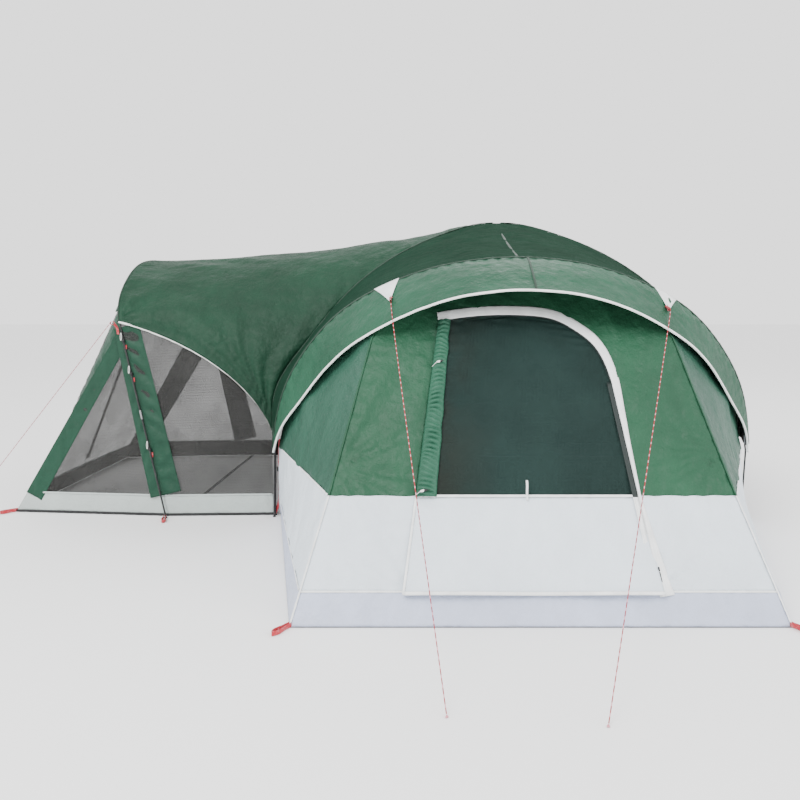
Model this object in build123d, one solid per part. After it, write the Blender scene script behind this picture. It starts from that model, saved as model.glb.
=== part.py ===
"""Family dome tent with a front bay and a screened porch on its left side.

The frame is millimetres, +Z up. The origin is on the ground under the crossing of
the two main poles. -Y is the front, where the bay and its D door are, and -X is the
porch side. Cloth is a thin closed solid, and each panel keeps a small gap to the next.
"""
import math
import os

from build123d import *

# ---------------------------------------------------------------- driving dimensions
BASE_HALF_WIDTH = 1525.5     # dome corners
BASE_HALF_DEPTH = 893.0
PEAK_HEIGHT = 1998.0         # centre line of the upper main pole
POLE_RADIUS = 5.5
FERRULE_RADIUS = 7.5
FERRULE_LENGTH = 60.0
HEM_HEIGHT = 500.0           # lower edge of the flysheet at the corners
CLOTH = 2.0                  # stand-in thickness of every cloth panel
SEAM_GAP = 5.0               # clear space between neighbouring panels
FLY_SHARE = 1.009            # flysheet, as a share of the pole frame
FLY_CLEARANCE = 9.0          # and this much higher
LINING_SHARE = 0.955         # inner tent, as a share of the pole frame
LINING_END = 16.0            # each inner wall stops this far short of its corners

TUB_HEIGHT = 125.0           # grey lower strip of the inner tent
WHITE_HEIGHT = 490.0         # top of the white wall
SHEET_THICKNESS = 3.0        # groundsheet
BAY_HALF_WIDTH = 1085.0      # front bay at the ground
BAY_FRONT = -2493.0
FRONT_LEAN = 0.58            # the front wall moves back this much for each unit of height

ARCH_FOOT_Y = -930.0         # front arch pole
ARCH_LEAN = -0.39
ARCH_TOP = 1630.0
VISOR_FOOT_Y = -742.0        # lower edge of the visor
VISOR_LEAN = -0.853

PORCH_END = -3280.0          # porch, at the ground
PORCH_END_HALF = 820.0
PORCH_POLE_X = -2224.5
PORCH_POLE_LEAN = -0.25
PORCH_WALL_Y = 912.0
PORCH_SKIRT = 135.0
SHOULDER_HEIGHT = 1257.0     # where the porch arch begins to curve
SLEEVE_WIDTH = 105.0

DOOR_SILL = 124.0
WINDOW_SILL = 487.0
TRIM_WIDTH = 44.0
TAPE_WIDTH = 22.0
CORD_RADIUS = 2.0
KNOT_RADIUS = 4.0
KNOT_LENGTH = 18.0
PIPING_RADIUS = 5.0
COVER_ROLL_RADIUS = 24.0
FOOT_CAP = (9.0, 6.0)        # radius, height
CLIP_HEIGHTS = (445.0, 935.0, 1150.0)

NEAR_LEFT = Vector(-BASE_HALF_WIDTH, -BASE_HALF_DEPTH)
NEAR_RIGHT = Vector(BASE_HALF_WIDTH, -BASE_HALF_DEPTH)
FAR_LEFT = Vector(-BASE_HALF_WIDTH, BASE_HALF_DEPTH)
FAR_RIGHT = Vector(BASE_HALF_WIDTH, BASE_HALF_DEPTH)
HALF_DIAGONAL = NEAR_LEFT.length
UP = Vector(0, 0, 1)

# A main pole from its foot to the peak: distance along the diagonal, height.
RIB_PROFILE = [(0, HEM_HEIGHT), (14, 800), (204, 1090), (526, 1450), (931, 1735), (1300, 1895),
               (HALF_DIAGONAL, PEAK_HEIGHT)]
# Half of the front arch from hem height to its top: half width, height.
ARCH_PROFILE = [(1474, HEM_HEIGHT), (1370, 860), (1180, 1155), (1000, 1330), (780, 1460), (480, 1570),
                (0, ARCH_TOP)]
# Half of the visor's lower edge: half width, height.
VISOR_PROFILE = [(1484, 462), (1400, 640), (1275, 800), (990, 1112), (700, 1295), (400, 1412), (0, 1463)]
# Half of the porch arch above its shoulder: half width, height.
PORCH_PROFILE = [(930, SHOULDER_HEIGHT), (870, 1365), (705, 1510), (420, 1652), (0, 1709)]
# Half of the front wall's outline: half width, height.
FRONT_SIDE = [(BAY_HALF_WIDTH, 0), (1053, TUB_HEIGHT), (960, WHITE_HEIGHT), (878, 860), (800, 1215),
              (690, 1400), (520, 1510), (270, 1580)]
# Back edge of the bay's side walls: half width, height.
GUSSET_BACK = [(1500, 0), (1494, TUB_HEIGHT), (1462, WHITE_HEIGHT), (1352, 860), (1105, 1190), (890, 1365)]
# The door's curved top, from its left edge to its right edge: x, height.
DOOR_TOP = [(-440, 1297), (-209, 1326), (0, 1328), (186, 1301), (369, 1173), (440, 992)]
DOOR_LEFT_FOOT = -590.0
DOOR_RIGHT_FOOT = 534.5
DOOR_RIGHT_WAIST = 495.5

PARTS = {}


# ---------------------------------------------------------------- shape helpers
def hoop(half):
    """A smooth curve from left to right over a top, from the (half width, height) of one half."""
    left = [(-a, 0, z) for a, z in half]
    right = [(a, 0, z) for a, z in reversed(half[:-1])]
    return Spline(*left, *right)


RIB = hoop([(HALF_DIAGONAL - s, z) for s, z in RIB_PROFILE])
ARCH = hoop(ARCH_PROFILE)
VISOR = hoop(VISOR_PROFILE)
PORCH_ARCH = hoop(PORCH_PROFILE)


def rib_point(corner, t, share=1.0):
    """A point on a main pole, from hem height at t = 0 to the peak at t = 1."""
    at = RIB @ (t / 2)
    inward = -at.X / HALF_DIAGONAL * share
    return Vector(corner.X * inward, corner.Y * inward, at.Z * share)


def arch_plane_y(z):
    return ARCH_FOOT_Y + ARCH_LEAN * z


def visor_plane_y(z):
    return VISOR_FOOT_Y + VISOR_LEAN * z


def arch_point(u, share=1.0):
    """A point of the front arch, from its left hem at u = 0 to its right one at u = 1."""
    at = ARCH @ u
    return Vector(at.X * share, arch_plane_y(at.Z) * share, at.Z * share)


def visor_point(u):
    at = VISOR @ u
    return Vector(at.X, visor_plane_y(at.Z), at.Z)


def porch_point(u, grow=0.0):
    """A point of the porch arch, from its near shoulder at u = 0 to the far one at u = 1."""
    at = PORCH_ARCH @ u
    return Vector(PORCH_POLE_X + PORCH_POLE_LEAN * at.Z, at.X * (1 + grow / 930), at.Z + grow)


def two_ribs(first, second, u, share=1.0):
    """Up one main pole to the peak and down the next; u runs 0 to 1."""
    if u <= 0.5:
        return rib_point(first, 2 * u, share)
    return rib_point(second, 2 * (1 - u), share)


def triangle(a, b, c):
    return Face(Wire.make_polygon([a, b, c], close=True))


def sheet(grid, thickness=CLOTH, holes=()):
    """A closed solid of even thickness about a grid of points; holes lists left-out cells."""
    rows = len(grid)
    columns = len(grid[0])
    cells = [(i, j) for i in range(rows - 1) for j in range(columns - 1) if (i, j) not in holes]
    normals = []
    for i in range(rows):
        line = []
        for j in range(columns):
            along = grid[min(i + 1, rows - 1)][j] - grid[max(i - 1, 0)][j]
            across = grid[i][min(j + 1, columns - 1)] - grid[i][max(j - 1, 0)]
            line.append(along.cross(across).normalized())
        normals.append(line)
    outer = [[grid[i][j] + normals[i][j] * (thickness / 2) for j in range(columns)] for i in range(rows)]
    inner = [[grid[i][j] - normals[i][j] * (thickness / 2) for j in range(columns)] for i in range(rows)]

    faces = []
    edges = {}
    for i, j in cells:
        ring = [(i, j), (i + 1, j), (i + 1, j + 1), (i, j + 1)]
        for skin in (outer, inner):
            a, b, c, d = [skin[r][s] for r, s in ring]
            faces.append(triangle(a, b, c))
            faces.append(triangle(a, c, d))
        for k in range(4):
            key = tuple(sorted((ring[k], ring[(k + 1) % 4])))
            edges[key] = edges.get(key, 0) + 1
    for (p, q), uses in edges.items():
        if uses == 1:
            a, b = outer[p[0]][p[1]], outer[q[0]][q[1]]
            c, d = inner[q[0]][q[1]], inner[p[0]][p[1]]
            faces.append(triangle(a, b, c))
            faces.append(triangle(a, c, d))
    return Solid(Shell(faces))


def ruled(first, second, rows, columns, bow=None):
    """A grid from curve first(u) to curve second(u); bow(u, s) moves a point off the straight line."""
    grid = []
    for i in range(rows + 1):
        u = i / rows
        line = []
        for j in range(columns + 1):
            s = j / columns
            point = first(u) * (1 - s) + second(u) * s
            if bow:
                point = point + bow(u, s)
            line.append(point)
        grid.append(line)
    return grid


def onto_plane(points):
    """Points moved onto the plane of the first three."""
    a, b, c = points[:3]
    normal = (b - a).cross(c - a).normalized()
    return [p - normal * (p - a).dot(normal) for p in points], normal


def flat_panel(points, thickness=CLOTH):
    """A flat closed panel with the outline points, thick towards the tent's outside."""
    outline, normal = onto_plane(points)
    face = Face(Wire.make_polygon(outline, close=True))
    middle = sum((p for p in outline), Vector()) * (1 / len(outline))
    away = middle - Vector(-600, -300, middle.Z)
    if normal.dot(away) < 0:
        normal = -normal
    return Solid.extrude(face, normal * thickness)


def cut(solid, plane):
    """The parts of a solid above and below a plane."""
    above = split(solid, bisect_by=plane, keep=Keep.TOP)
    below = split(solid, bisect_by=plane, keep=Keep.BOTTOM)
    return above.solids(), below.solids()


def height_plane(z):
    return Plane(origin=(0, 0, z), z_dir=(0, 0, 1))


def edge_plane(p, q, normal, offset):
    """The plane through line p-q, square to a panel and moved sideways by offset."""
    side = (q - p).cross(normal).normalized()
    return Plane(origin=p + side * offset, z_dir=side)


def bend_radii(points):
    """The largest tangent arc at each corner of a run of points."""
    radii = []
    for before, at, after in zip(points, points[1:], points[2:]):
        turn = math.radians((at - before).get_angle(after - at))
        run = min((at - before).length, (after - at).length)
        radii.append(0.45 * run / math.tan(turn / 2))
    return radii


def bent_path(points):
    return FilletPolyline(*points, radius=bend_radii(points)).wire()


def tube(path, radius, start=0.0, end=1.0):
    """A round rod along part of a path; start and end are shares of its length."""
    part = path.trim(start, end) if (start, end) != (0.0, 1.0) else path
    at = part.position_at(0)
    along = part.tangent_at(0)
    section = Plane(origin=at, z_dir=along) * Circle(radius)
    return sweep(section, path=part).solid()


def block(centre, size):
    """A small upright box."""
    return (Pos(*Vector(*centre)) * Box(*size)).solid()


def keep(name, *solids):
    """Files solids under a node's name."""
    found = PARTS.setdefault(name, [])
    for item in solids:
        found.extend(item if isinstance(item, (list, tuple, ShapeList)) else [item])


# ---------------------------------------------------------------- poles
def pole_sections(name, points, sections):
    """A pole of rods joined by ferrules along a bent path."""
    path = bent_path(points)
    half = FERRULE_LENGTH / 2 / path.length
    for k in range(sections):
        start = k / sections + (half if k else 0.0)
        end = (k + 1) / sections - (half if k < sections - 1 else 0.0)
        keep(name, tube(path, POLE_RADIUS, start, end))
        if k:
            keep("pole_ferrules", tube(path, FERRULE_RADIUS, k / sections - half, k / sections + half))


def main_pole_points(corner, drop):
    """One whole main pole, foot to foot, lowered by drop at the crossing."""
    half = [Vector(corner.X, corner.Y, 8), Vector(corner.X * 1.001, corner.Y, 420)]
    for t in (0.13, 0.24, 0.32, 0.42, 0.54, 0.68, 0.82, 0.94):
        at = rib_point(corner, t)
        half.append(at - UP * drop * (1 - at.X / corner.X))
    other = [Vector(-p.X, -p.Y, p.Z) for p in reversed(half)]
    return half + other


def arch_pole_points():
    left = [Vector(-1525, arch_plane_y(9), 9), Vector(-1503, arch_plane_y(330), 330)]
    left += [arch_point(u) for u in (0.06, 0.14, 0.21, 0.28, 0.35, 0.42, 0.48)]
    right = [Vector(-p.X, p.Y, p.Z) for p in reversed(left)]
    return left + right


def porch_pole_points():
    near = [Vector(PORCH_POLE_X, -955, 9), Vector(PORCH_POLE_X + PORCH_POLE_LEAN * 600, -949, 600)]
    near.append(Vector(PORCH_POLE_X + PORCH_POLE_LEAN * 1170, -938, 1170))
    near += [porch_point(u) for u in (0.055, 0.13, 0.21, 0.3, 0.39, 0.47)]
    far = [Vector(p.X, -p.Y, p.Z) for p in reversed(near)]
    return near + far


def make_poles():
    pole_sections("main_pole_upper", main_pole_points(NEAR_LEFT, 0.0), 9)
    pole_sections("main_pole_lower", main_pole_points(NEAR_RIGHT, 2 * POLE_RADIUS + 5.5), 9)
    pole_sections("front_arch_pole", arch_pole_points(), 9)
    pole_sections("porch_arch_pole", porch_pole_points(), 7)


def make_pole_feet():
    """A cap under each pole's foot and the red webbing that holds it at its corner."""
    feet = [(c.X, c.Y) for c in (NEAR_LEFT, NEAR_RIGHT, FAR_LEFT, FAR_RIGHT)]
    feet += [(side * 1525, arch_plane_y(9)) for side in (-1, 1)]
    feet += [(PORCH_POLE_X - 1.5, side * 955) for side in (-1, 1)]
    for x, y in feet:
        keep("pole_foot_caps", (Pos(x, y, FOOT_CAP[1] / 2) * Cylinder(*FOOT_CAP)).solid())
    for side in (-1, 1):
        keep("corner_webbing", block((side * 1500, -908, 300), (3, 25, 420)))
        keep("corner_webbing", block((side * 1500, 900, 300), (3, 25, 420)))


# ---------------------------------------------------------------- flysheet
def front_gore():
    """From the two near main poles forward to the front arch."""
    def ridge(u):
        return two_ribs(NEAR_LEFT, NEAR_RIGHT, u, FLY_SHARE) + Vector(0, -SEAM_GAP, FLY_CLEARANCE)

    def brow(u):
        return arch_point(u, FLY_SHARE) + Vector(0, SEAM_GAP, FLY_CLEARANCE)

    return sheet(ruled(ridge, brow, 24, 3))


def visor():
    """The light band in front of the arch, down to its piped edge."""
    def brow(u):
        return arch_point(u, FLY_SHARE) + Vector(0, -SEAM_GAP, FLY_CLEARANCE)

    return sheet(ruled(brow, visor_point, 24, 2))


def side_gore(first, second, outward):
    """A gore that is level from one main pole to the next."""
    def near(t):
        return rib_point(first, 0.975 * t, FLY_SHARE) + outward

    def far(t):
        return rib_point(second, 0.975 * t, FLY_SHARE) + outward

    return sheet(ruled(near, far, 12, 4))


def canopy_bow(u, s):
    """The porch roof sags along its ridge and its long edges are cut as arches."""
    edge = abs(2 * u - 1) ** 3
    arch = 500 * math.sqrt(s) * (1 - s)
    sag = -64 * 4 * s * (1 - s)
    return UP * (arch * edge + sag * (1 - edge))


def canopy_ridge(u):
    return two_ribs(NEAR_LEFT, FAR_LEFT, u, FLY_SHARE) + Vector(-SEAM_GAP, 0, FLY_CLEARANCE)


def canopy_end(u):
    return porch_point(u, 2 * FLY_CLEARANCE)


def porch_canopy():
    """From the two left main poles out to the porch arch."""
    return sheet(ruled(canopy_ridge, canopy_end, 20, 10, canopy_bow))


def canopy_edge(u, s):
    return canopy_ridge(u) * (1 - s) + canopy_end(u) * s + canopy_bow(u, s)


def make_fly():
    keep("fly_front_gore", front_gore())
    keep("fly_visor", visor())
    keep("fly_right_gore", side_gore(NEAR_RIGHT, FAR_RIGHT, Vector(SEAM_GAP, 0, FLY_CLEARANCE)))
    keep("fly_back_gore", side_gore(FAR_RIGHT, FAR_LEFT, Vector(0, SEAM_GAP, FLY_CLEARANCE)))
    keep("fly_porch_canopy", porch_canopy())

    steps = 14
    visor_edge = [visor_point(0.004 + 0.992 * k / steps) + Vector(0, -9, -6) for k in range(steps + 1)]
    keep("visor_piping", tube(bent_path(visor_edge), PIPING_RADIUS))
    for side in (0.0, 1.0):
        outward = Vector(0, -10 if side == 0.0 else 10, -5)
        edge = [canopy_edge(side, s) + outward for s in (0.01, 0.06, 0.16, 0.32, 0.5, 0.7, 0.86, 0.98)]
        keep("canopy_piping", tube(bent_path(edge), PIPING_RADIUS))


GUY_PATCH_AT = {"left": 0.315, "right": 0.714}    # along the arch, hem to hem
GUY_PATCH_HALF = 0.018
GUY_PATCH_DEPTH = 0.55                            # of the way down the visor
PORCH_LOOP = Vector(-2560, 985, 1268)


def visor_surface(u, s):
    """A point just above the visor: u along the arch, s from the arch to the piped edge."""
    brow = arch_point(u, FLY_SHARE) + Vector(0, -SEAM_GAP, FLY_CLEARANCE)
    return brow * (1 - s) + visor_point(u) * s + Vector(0, -4, 8)


def make_guy_patches():
    """Two stiff corner patches on the visor, each with a webbing loop for its guy line."""
    for u in GUY_PATCH_AT.values():
        tip = visor_surface(u, GUY_PATCH_DEPTH)
        outer = visor_surface(u - GUY_PATCH_HALF, 0.05)
        inner = visor_surface(u + GUY_PATCH_HALF, 0.05)
        keep("guy_patches", flat_panel([outer, inner, tip]))
        keep("guy_loops", block(tip + Vector(0, -20, 4), (14, 20, 10)))
    for side in (-1, 1):
        keep("guy_loops", block((PORCH_LOOP.X, side * PORCH_LOOP.Y, PORCH_LOOP.Z), (30, 14, 14)))


# ---------------------------------------------------------------- inner tent
def front_y(z):
    return BAY_FRONT + FRONT_LEAN * z


FRONT_NORMAL = Vector(0, -1, FRONT_LEAN).normalized()
FRONT_PLANE = Plane(origin=(0, BAY_FRONT, 0), x_dir=(1, 0, 0), z_dir=FRONT_NORMAL)
SLOPE = math.hypot(1, FRONT_LEAN)    # length along the front wall for each unit of height


def on_front(x, z, off=0.0):
    return Vector(x, front_y(z), z) + FRONT_NORMAL * off


def front_face(outline, off=0.0):
    """A face in the leaning front plane from an outline drawn in (x, height along the wall)."""
    plane = Plane(origin=FRONT_PLANE.origin + FRONT_NORMAL * off, x_dir=(1, 0, 0), z_dir=FRONT_NORMAL)
    return plane * outline


def grown(outline, margin):
    """A closed outline moved outwards by margin; it runs clockwise."""
    moved = []
    count = len(outline)
    for k in range(count):
        before = (outline[k] - outline[k - 1]).normalized()
        after = (outline[(k + 1) % count] - outline[k]).normalized()
        out_before = Vector(-before.Y, before.X)
        out_after = Vector(-after.Y, after.X)
        middle = (out_before + out_after).normalized()
        moved.append(outline[k] + middle * (margin / middle.dot(out_before)))
    return moved


def door_outline(margin=0.0):
    """The D of the door in the front plane, grown or shrunk by margin."""
    crown = Spline(*[(x, z * SLOPE) for x, z in DOOR_TOP], tangents=[(0.99, 0.16), (0.14, -1)])
    sill = DOOR_SILL * SLOPE
    points = [Vector(DOOR_LEFT_FOOT, sill)]
    points += [crown @ (k / 14) for k in range(15)]
    points += [Vector(DOOR_RIGHT_WAIST, WINDOW_SILL * SLOPE), Vector(DOOR_RIGHT_FOOT, sill)]
    return make_face(Polyline(*grown(points, margin), close=True))


def front_outline():
    points = [(-x, z * SLOPE) for x, z in FRONT_SIDE] + [(x, z * SLOPE) for x, z in reversed(FRONT_SIDE)]
    return make_face(Polyline(*points, close=True))


def slab(face, thickness=CLOTH):
    return extrude(face, amount=thickness, dir=FRONT_NORMAL).solids()


def make_front_wall():
    """The leaning front wall with its D opening: tub strip, white wall and green wall."""
    wall = slab(front_face(front_outline() - door_outline()))[0]
    rest, _ = cut(wall, height_plane(SHEET_THICKNESS + 1))
    upper, tub = cut(rest[0], height_plane(TUB_HEIGHT))
    keep("tub_wall_front", tub)
    for piece in upper:
        green, white = cut(piece, height_plane(WHITE_HEIGHT))
        keep("front_wall_upper", green)
        keep("front_wall_lower", white)


def gusset_grid(side, low, high, rows):
    """Side wall of the bay, from the front seam back to the front arch and the corner."""
    seam = FRONT_SIDE[:6]
    bend_height, seam_top, back_top = 860, 1400, 1365

    def width_at(points, z):
        heights = [p[1] for p in points]
        k = max(i for i in range(len(points) - 1) if heights[i] <= z)
        f = (z - heights[k]) / (heights[k + 1] - heights[k])
        return points[k][0] * (1 - f) + points[k + 1][0] * f

    grid = []
    for i in range(rows + 1):
        z = low + (high - low) * i / rows
        front_x = width_at(seam, z)
        back_z = z
        if z > bend_height:
            back_z = bend_height + (z - bend_height) * (back_top - bend_height) / (seam_top - bend_height)
        back_x = width_at(GUSSET_BACK, back_z)
        front = Vector(side * (front_x + 4), front_y(z) + 3, z)
        rear = Vector(side * (back_x - 12), arch_plane_y(back_z) + 22, back_z)    # behind the arch pole
        grid.append([front * (1 - s) + rear * s for s in (0, 0.5, 1)])
    return grid


def make_gussets():
    for side, name in ((-1, "left"), (1, "right")):
        keep("tub_walls_side", sheet(gusset_grid(side, SHEET_THICKNESS + 1, TUB_HEIGHT, 1)))
        keep(f"gusset_lower_{name}", sheet(gusset_grid(side, TUB_HEIGHT + 2, WHITE_HEIGHT, 2)))
        keep(f"gusset_upper_{name}", sheet(gusset_grid(side, WHITE_HEIGHT + 2, 1400, 6)))


def lining_point(corner, z_or_t, share=LINING_SHARE):
    """On the inner tent: below hem height a height, above it a share of the main pole."""
    if z_or_t > 1:
        return Vector(corner.X * share, corner.Y * share, z_or_t)
    return rib_point(corner, z_or_t, share)


def lining_wall(first, second, inward, levels, holes=()):
    """An inner wall between two corners at the given levels."""
    grid = []
    for level in levels:
        a = lining_point(first, level) + inward
        b = lining_point(second, level) + inward
        stop = (b - a).normalized() * LINING_END
        start, width = a + stop, b - a - stop * 2
        grid.append([start + width * (k / 6) for k in range(7)])
    return sheet(grid, holes=holes)


def make_lining():
    """The inner tent inside the poles: tub walls, white walls and a dark breathable roof."""
    low = [SHEET_THICKNESS + 1, TUB_HEIGHT]
    high = [TUB_HEIGHT + 2, 300, 420]
    roof = [0.05 + 0.13 * k for k in range(8)]
    walls = {
        "right": (NEAR_RIGHT, FAR_RIGHT, Vector(-6, 0)),
        "back": (FAR_RIGHT, FAR_LEFT, Vector(0, -6)),
        "left": (FAR_LEFT, NEAR_LEFT, Vector(6, 0)),
    }
    for name, (first, second, inward) in walls.items():
        keep("tub_walls_side", lining_wall(first, second, inward, low))
        doorway = [(i, j) for i in range(6) for j in (2, 3)] if name == "left" else ()
        keep(f"lining_{name}", lining_wall(first, second, inward, high + roof, doorway))

    def ridge(u):
        return two_ribs(NEAR_LEFT, NEAR_RIGHT, 0.06 + 0.88 * u, LINING_SHARE) + Vector(0, -10, -4)

    def brow(u):
        return arch_point(0.06 + 0.88 * u, 0.985) + Vector(0, 36, -24)

    keep("lining_front_roof", sheet(ruled(ridge, brow, 16, 2)))


def make_groundsheet():
    inset = LINING_SHARE + 0.012
    back_x, back_y = BASE_HALF_WIDTH * inset, BASE_HALF_DEPTH * inset
    outline = [(-back_x, back_y), (back_x, back_y), (back_x, -back_y + 6), (BAY_HALF_WIDTH, BAY_FRONT - 4),
               (-BAY_HALF_WIDTH, BAY_FRONT - 4), (-back_x, -back_y + 6)]
    face = make_face(Polyline(*outline, close=True))
    keep("groundsheet", extrude(face, amount=SHEET_THICKNESS).solids())


# ---------------------------------------------------------------- front door
def make_door():
    """The door cloth in the D opening, its cover rolled at the left edge, and its trim."""
    leaf = slab(front_face(door_outline(-3)))[0]
    window, lower = cut(leaf, height_plane(WINDOW_SILL))
    keep("door_window", window)
    keep("door_lower_panel", lower)

    ring = door_outline(TRIM_WIDTH) - door_outline(1)
    trim = slab(front_face(ring, CLOTH))[0]
    foot = Vector(DOOR_LEFT_FOOT, 0, DOOR_SILL)
    top = Vector(DOOR_TOP[0][0], 0, DOOR_TOP[0][1])
    lean = edge_plane(on_front(foot.X, foot.Z), on_front(top.X, top.Z), FRONT_NORMAL, 12)
    right_of_edge, _ = cut(trim, lean)
    above_sill, _ = cut(right_of_edge[0], height_plane(DOOR_SILL))
    keep("door_trim", max(above_sill, key=lambda s: s.volume))

    route = [(-546, 500), (-520, 700), (-497, 900), (-471, 1100), (-448, 1280)]
    roll = [on_front(x + 22, z, 30) for x, z in route]
    roll[1] += Vector(2, 0, 0)
    roll[3] += Vector(-2, 0, 0)
    keep("window_cover_roll", tube(bent_path(roll), COVER_ROLL_RADIUS))
    for x, z in ((-546, 500), (-467, 1075)):
        keep("cover_toggles", (FRONT_PLANE.offset(58) * Pos(x + 14, z * SLOPE) * Box(36, 9, 6)).solid())

    keep("window_pull", block((-28, front_y(474) - 14, 520), (9, 3, 92)))

    low = Vector(DOOR_RIGHT_FOOT, 0, DOOR_SILL + 8)
    high = Vector(DOOR_TOP[-1][0], 0, DOOR_TOP[-1][1] - 10)
    corners = [(low.X - 28, low.Z), (low.X - 28 + TAPE_WIDTH, low.Z),
               (high.X - 24 + TAPE_WIDTH, high.Z), (high.X - 24, high.Z)]
    tape = make_face(Polyline(*[(x, z * SLOPE) for x, z in corners], close=True))
    keep("door_edge_tape", slab(front_face(tape, 8), 3))

    body = FRONT_PLANE.offset(11.5) * Pos(DOOR_RIGHT_FOOT + 5, 205 * SLOPE)
    keep("door_zip_slider", (body * Box(12, 20, 8)).solid())
    keep("door_zip_slider", (body * Pos(0, -36, 2) * Box(9, 50, 2)).solid())


# ---------------------------------------------------------------- porch
def porch_wall_corners(side):
    """End corner, pole foot, dome corner and shoulder of one long porch wall."""
    end = Vector(PORCH_END, side * PORCH_END_HALF, 0)
    foot = Vector(PORCH_POLE_X, side * PORCH_WALL_Y, 0)
    dome = Vector(-BASE_HALF_WIDTH - 30, side * (BASE_HALF_DEPTH - 4), 0)
    shoulder = Vector(PORCH_POLE_X + PORCH_POLE_LEAN * 1240, side * (PORCH_WALL_Y - 6), 1240)
    return end, foot, dome, shoulder


def make_porch_walls():
    """Mesh long walls with their sleeves and skirts, on the near and the far side."""
    for side, name in ((-1, "near"), (1, "far")):
        end, foot, dome, shoulder = porch_wall_corners(side)
        gap = Vector(3, 0, 0)

        outer = flat_panel([end, foot - gap, shoulder - gap])
        _, normal = onto_plane([end, foot, shoulder])
        upper, skirt = cut(outer, height_plane(PORCH_SKIRT))
        keep(f"porch_skirt_{name}", skirt)
        beside_end, rest = sides_of(upper[0], edge_plane(end, shoulder, normal, SLEEVE_WIDTH), end)
        keep(f"end_sleeve_{name}", beside_end)
        beside_pole, mesh = sides_of(rest, edge_plane(foot, shoulder, normal, -SLEEVE_WIDTH), foot)
        keep(f"pole_sleeve_{name}", beside_pole)
        keep(f"porch_mesh_{name}_outer", mesh)

        curve = [canopy_edge(0.0 if side < 0 else 1.0, s) for s in (0.05, 0.15, 0.35, 0.6, 0.8, 0.93)]
        rim = [Vector(p.X - 12, p.Y, p.Z - 26) for p in curve]
        outline = [foot + gap, dome, shoulder + gap, *reversed(rim)]
        flat, normal = onto_plane(outline)
        ordered = [flat[0], flat[1], *reversed(flat[3:]), flat[2]]
        inner = flat_panel(ordered)
        upper, skirt = cut(inner, height_plane(PORCH_SKIRT))
        keep(f"porch_skirt_{name}", skirt)
        plane = edge_plane(foot, shoulder, normal, SLEEVE_WIDTH)
        if (dome - plane.origin).dot(plane.z_dir) < 0:
            plane = edge_plane(foot, shoulder, normal, -SLEEVE_WIDTH)
        beside_pole, mesh = sides_of(upper[0], plane, foot)
        keep(f"pole_sleeve_{name}", beside_pole)
        keep(f"porch_mesh_{name}_inner", mesh)


def sides_of(solid, plane, point):
    """Cuts a solid and returns the piece on the same side as point first."""
    above, below = cut(solid, plane)
    if (point - plane.origin).dot(plane.z_dir) < 0:
        above, below = below, above
    return max(above, key=lambda s: s.volume), max(below, key=lambda s: s.volume)


def end_wall_point(u, s):
    """On the leaning end wall: u across from near to far, s from the ground to the arch."""
    foot = Vector(PORCH_END + 6, PORCH_END_HALF * (2 * u - 1) * 0.985, 0)
    head = porch_point(u, -26) + Vector(6, 0, 0)
    return foot * (1 - s) + head * s


def end_wall(u_from, u_to, columns, s_from=0.0, s_to=0.985):
    """The stretch of the end wall between two shares of its width."""
    rows = 6
    grid = []
    for k in range(columns + 1):
        u = u_from + (u_to - u_from) * k / columns
        grid.append([end_wall_point(u, s_from + (s_to - s_from) * j / rows) for j in range(rows + 1)])
    return sheet(grid)


def make_porch_end():
    """The end wall: two mesh leaves meeting at a zip, beside the corner sleeves."""
    low, high = 0.085, 0.5
    skirt_top = 0.09
    keep("porch_skirt_end", *cut(end_wall(0.01, 0.99, 8, 0.0, skirt_top - 0.002), height_plane(1))[:1])
    for mirror, name in ((False, "near"), (True, "far")):
        def across(u):
            return 1 - u if mirror else u
        keep(f"end_sleeve_{name}", end_wall(*sorted((across(0.012), across(low - 0.003))), 1, skirt_top))
        leaf = sorted((across(low), across(high - 0.002)))
        keep(f"end_leaf_{name}", end_wall(*leaf, 6, skirt_top))


def make_end_tapes():
    """Each leaf's zip tape, which swings with the leaf, and the slider on the near one."""
    foot = end_wall_point(0.5, 0.1)
    head = end_wall_point(0.5, 0.95)
    down = (foot - head).normalized()
    out = down.cross(Vector(0, 1, 0)).normalized()
    if out.X > 0:
        out = -out
    length = (foot - head).length
    middle = (foot + head) * 0.5 + out * 9
    frame = Plane(origin=middle, x_dir=(0, 1, 0), z_dir=out)
    for side, name in ((-1, "near"), (1, "far")):
        keep(f"end_tape_{name}", (frame * Pos(side * 13, 0, 0) * Box(TAPE_WIDTH, length, 3)).solid())
    slider = Plane(origin=foot - down * 30 + out * 15.5, x_dir=(0, 1, 0), z_dir=out)
    keep("end_zip_slider", (slider * Pos(-13, 0, 0) * Box(12, 20, 8)).solid())
    keep("end_zip_slider", (slider * Pos(-13, -30, 5.5) * Box(8, 44, 2)).solid())


def make_porch_fittings():
    """Ground strap between the arch's feet and the clips that hold the near sleeve to it."""
    keep("ground_strap", block((PORCH_POLE_X + 60, 0, 1), (25, 2 * PORCH_WALL_Y - 40, 2)))
    for side in (-1, 1):
        for z in CLIP_HEIGHTS:
            x = PORCH_POLE_X + PORCH_POLE_LEAN * z
            y = side * (945 - z * 0.012)
            ring = Pos(x, y, z) * Rot(90, 0, 90) * Box(6, 22, 16)
            bore = Pos(x, y + side * 4, z) * Rot(0, -14, 0) * Cylinder(7.8, 60)
            hook = ring - bore
            keep("sleeve_clips", max(hook.solids(), key=lambda s: s.volume))


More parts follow.
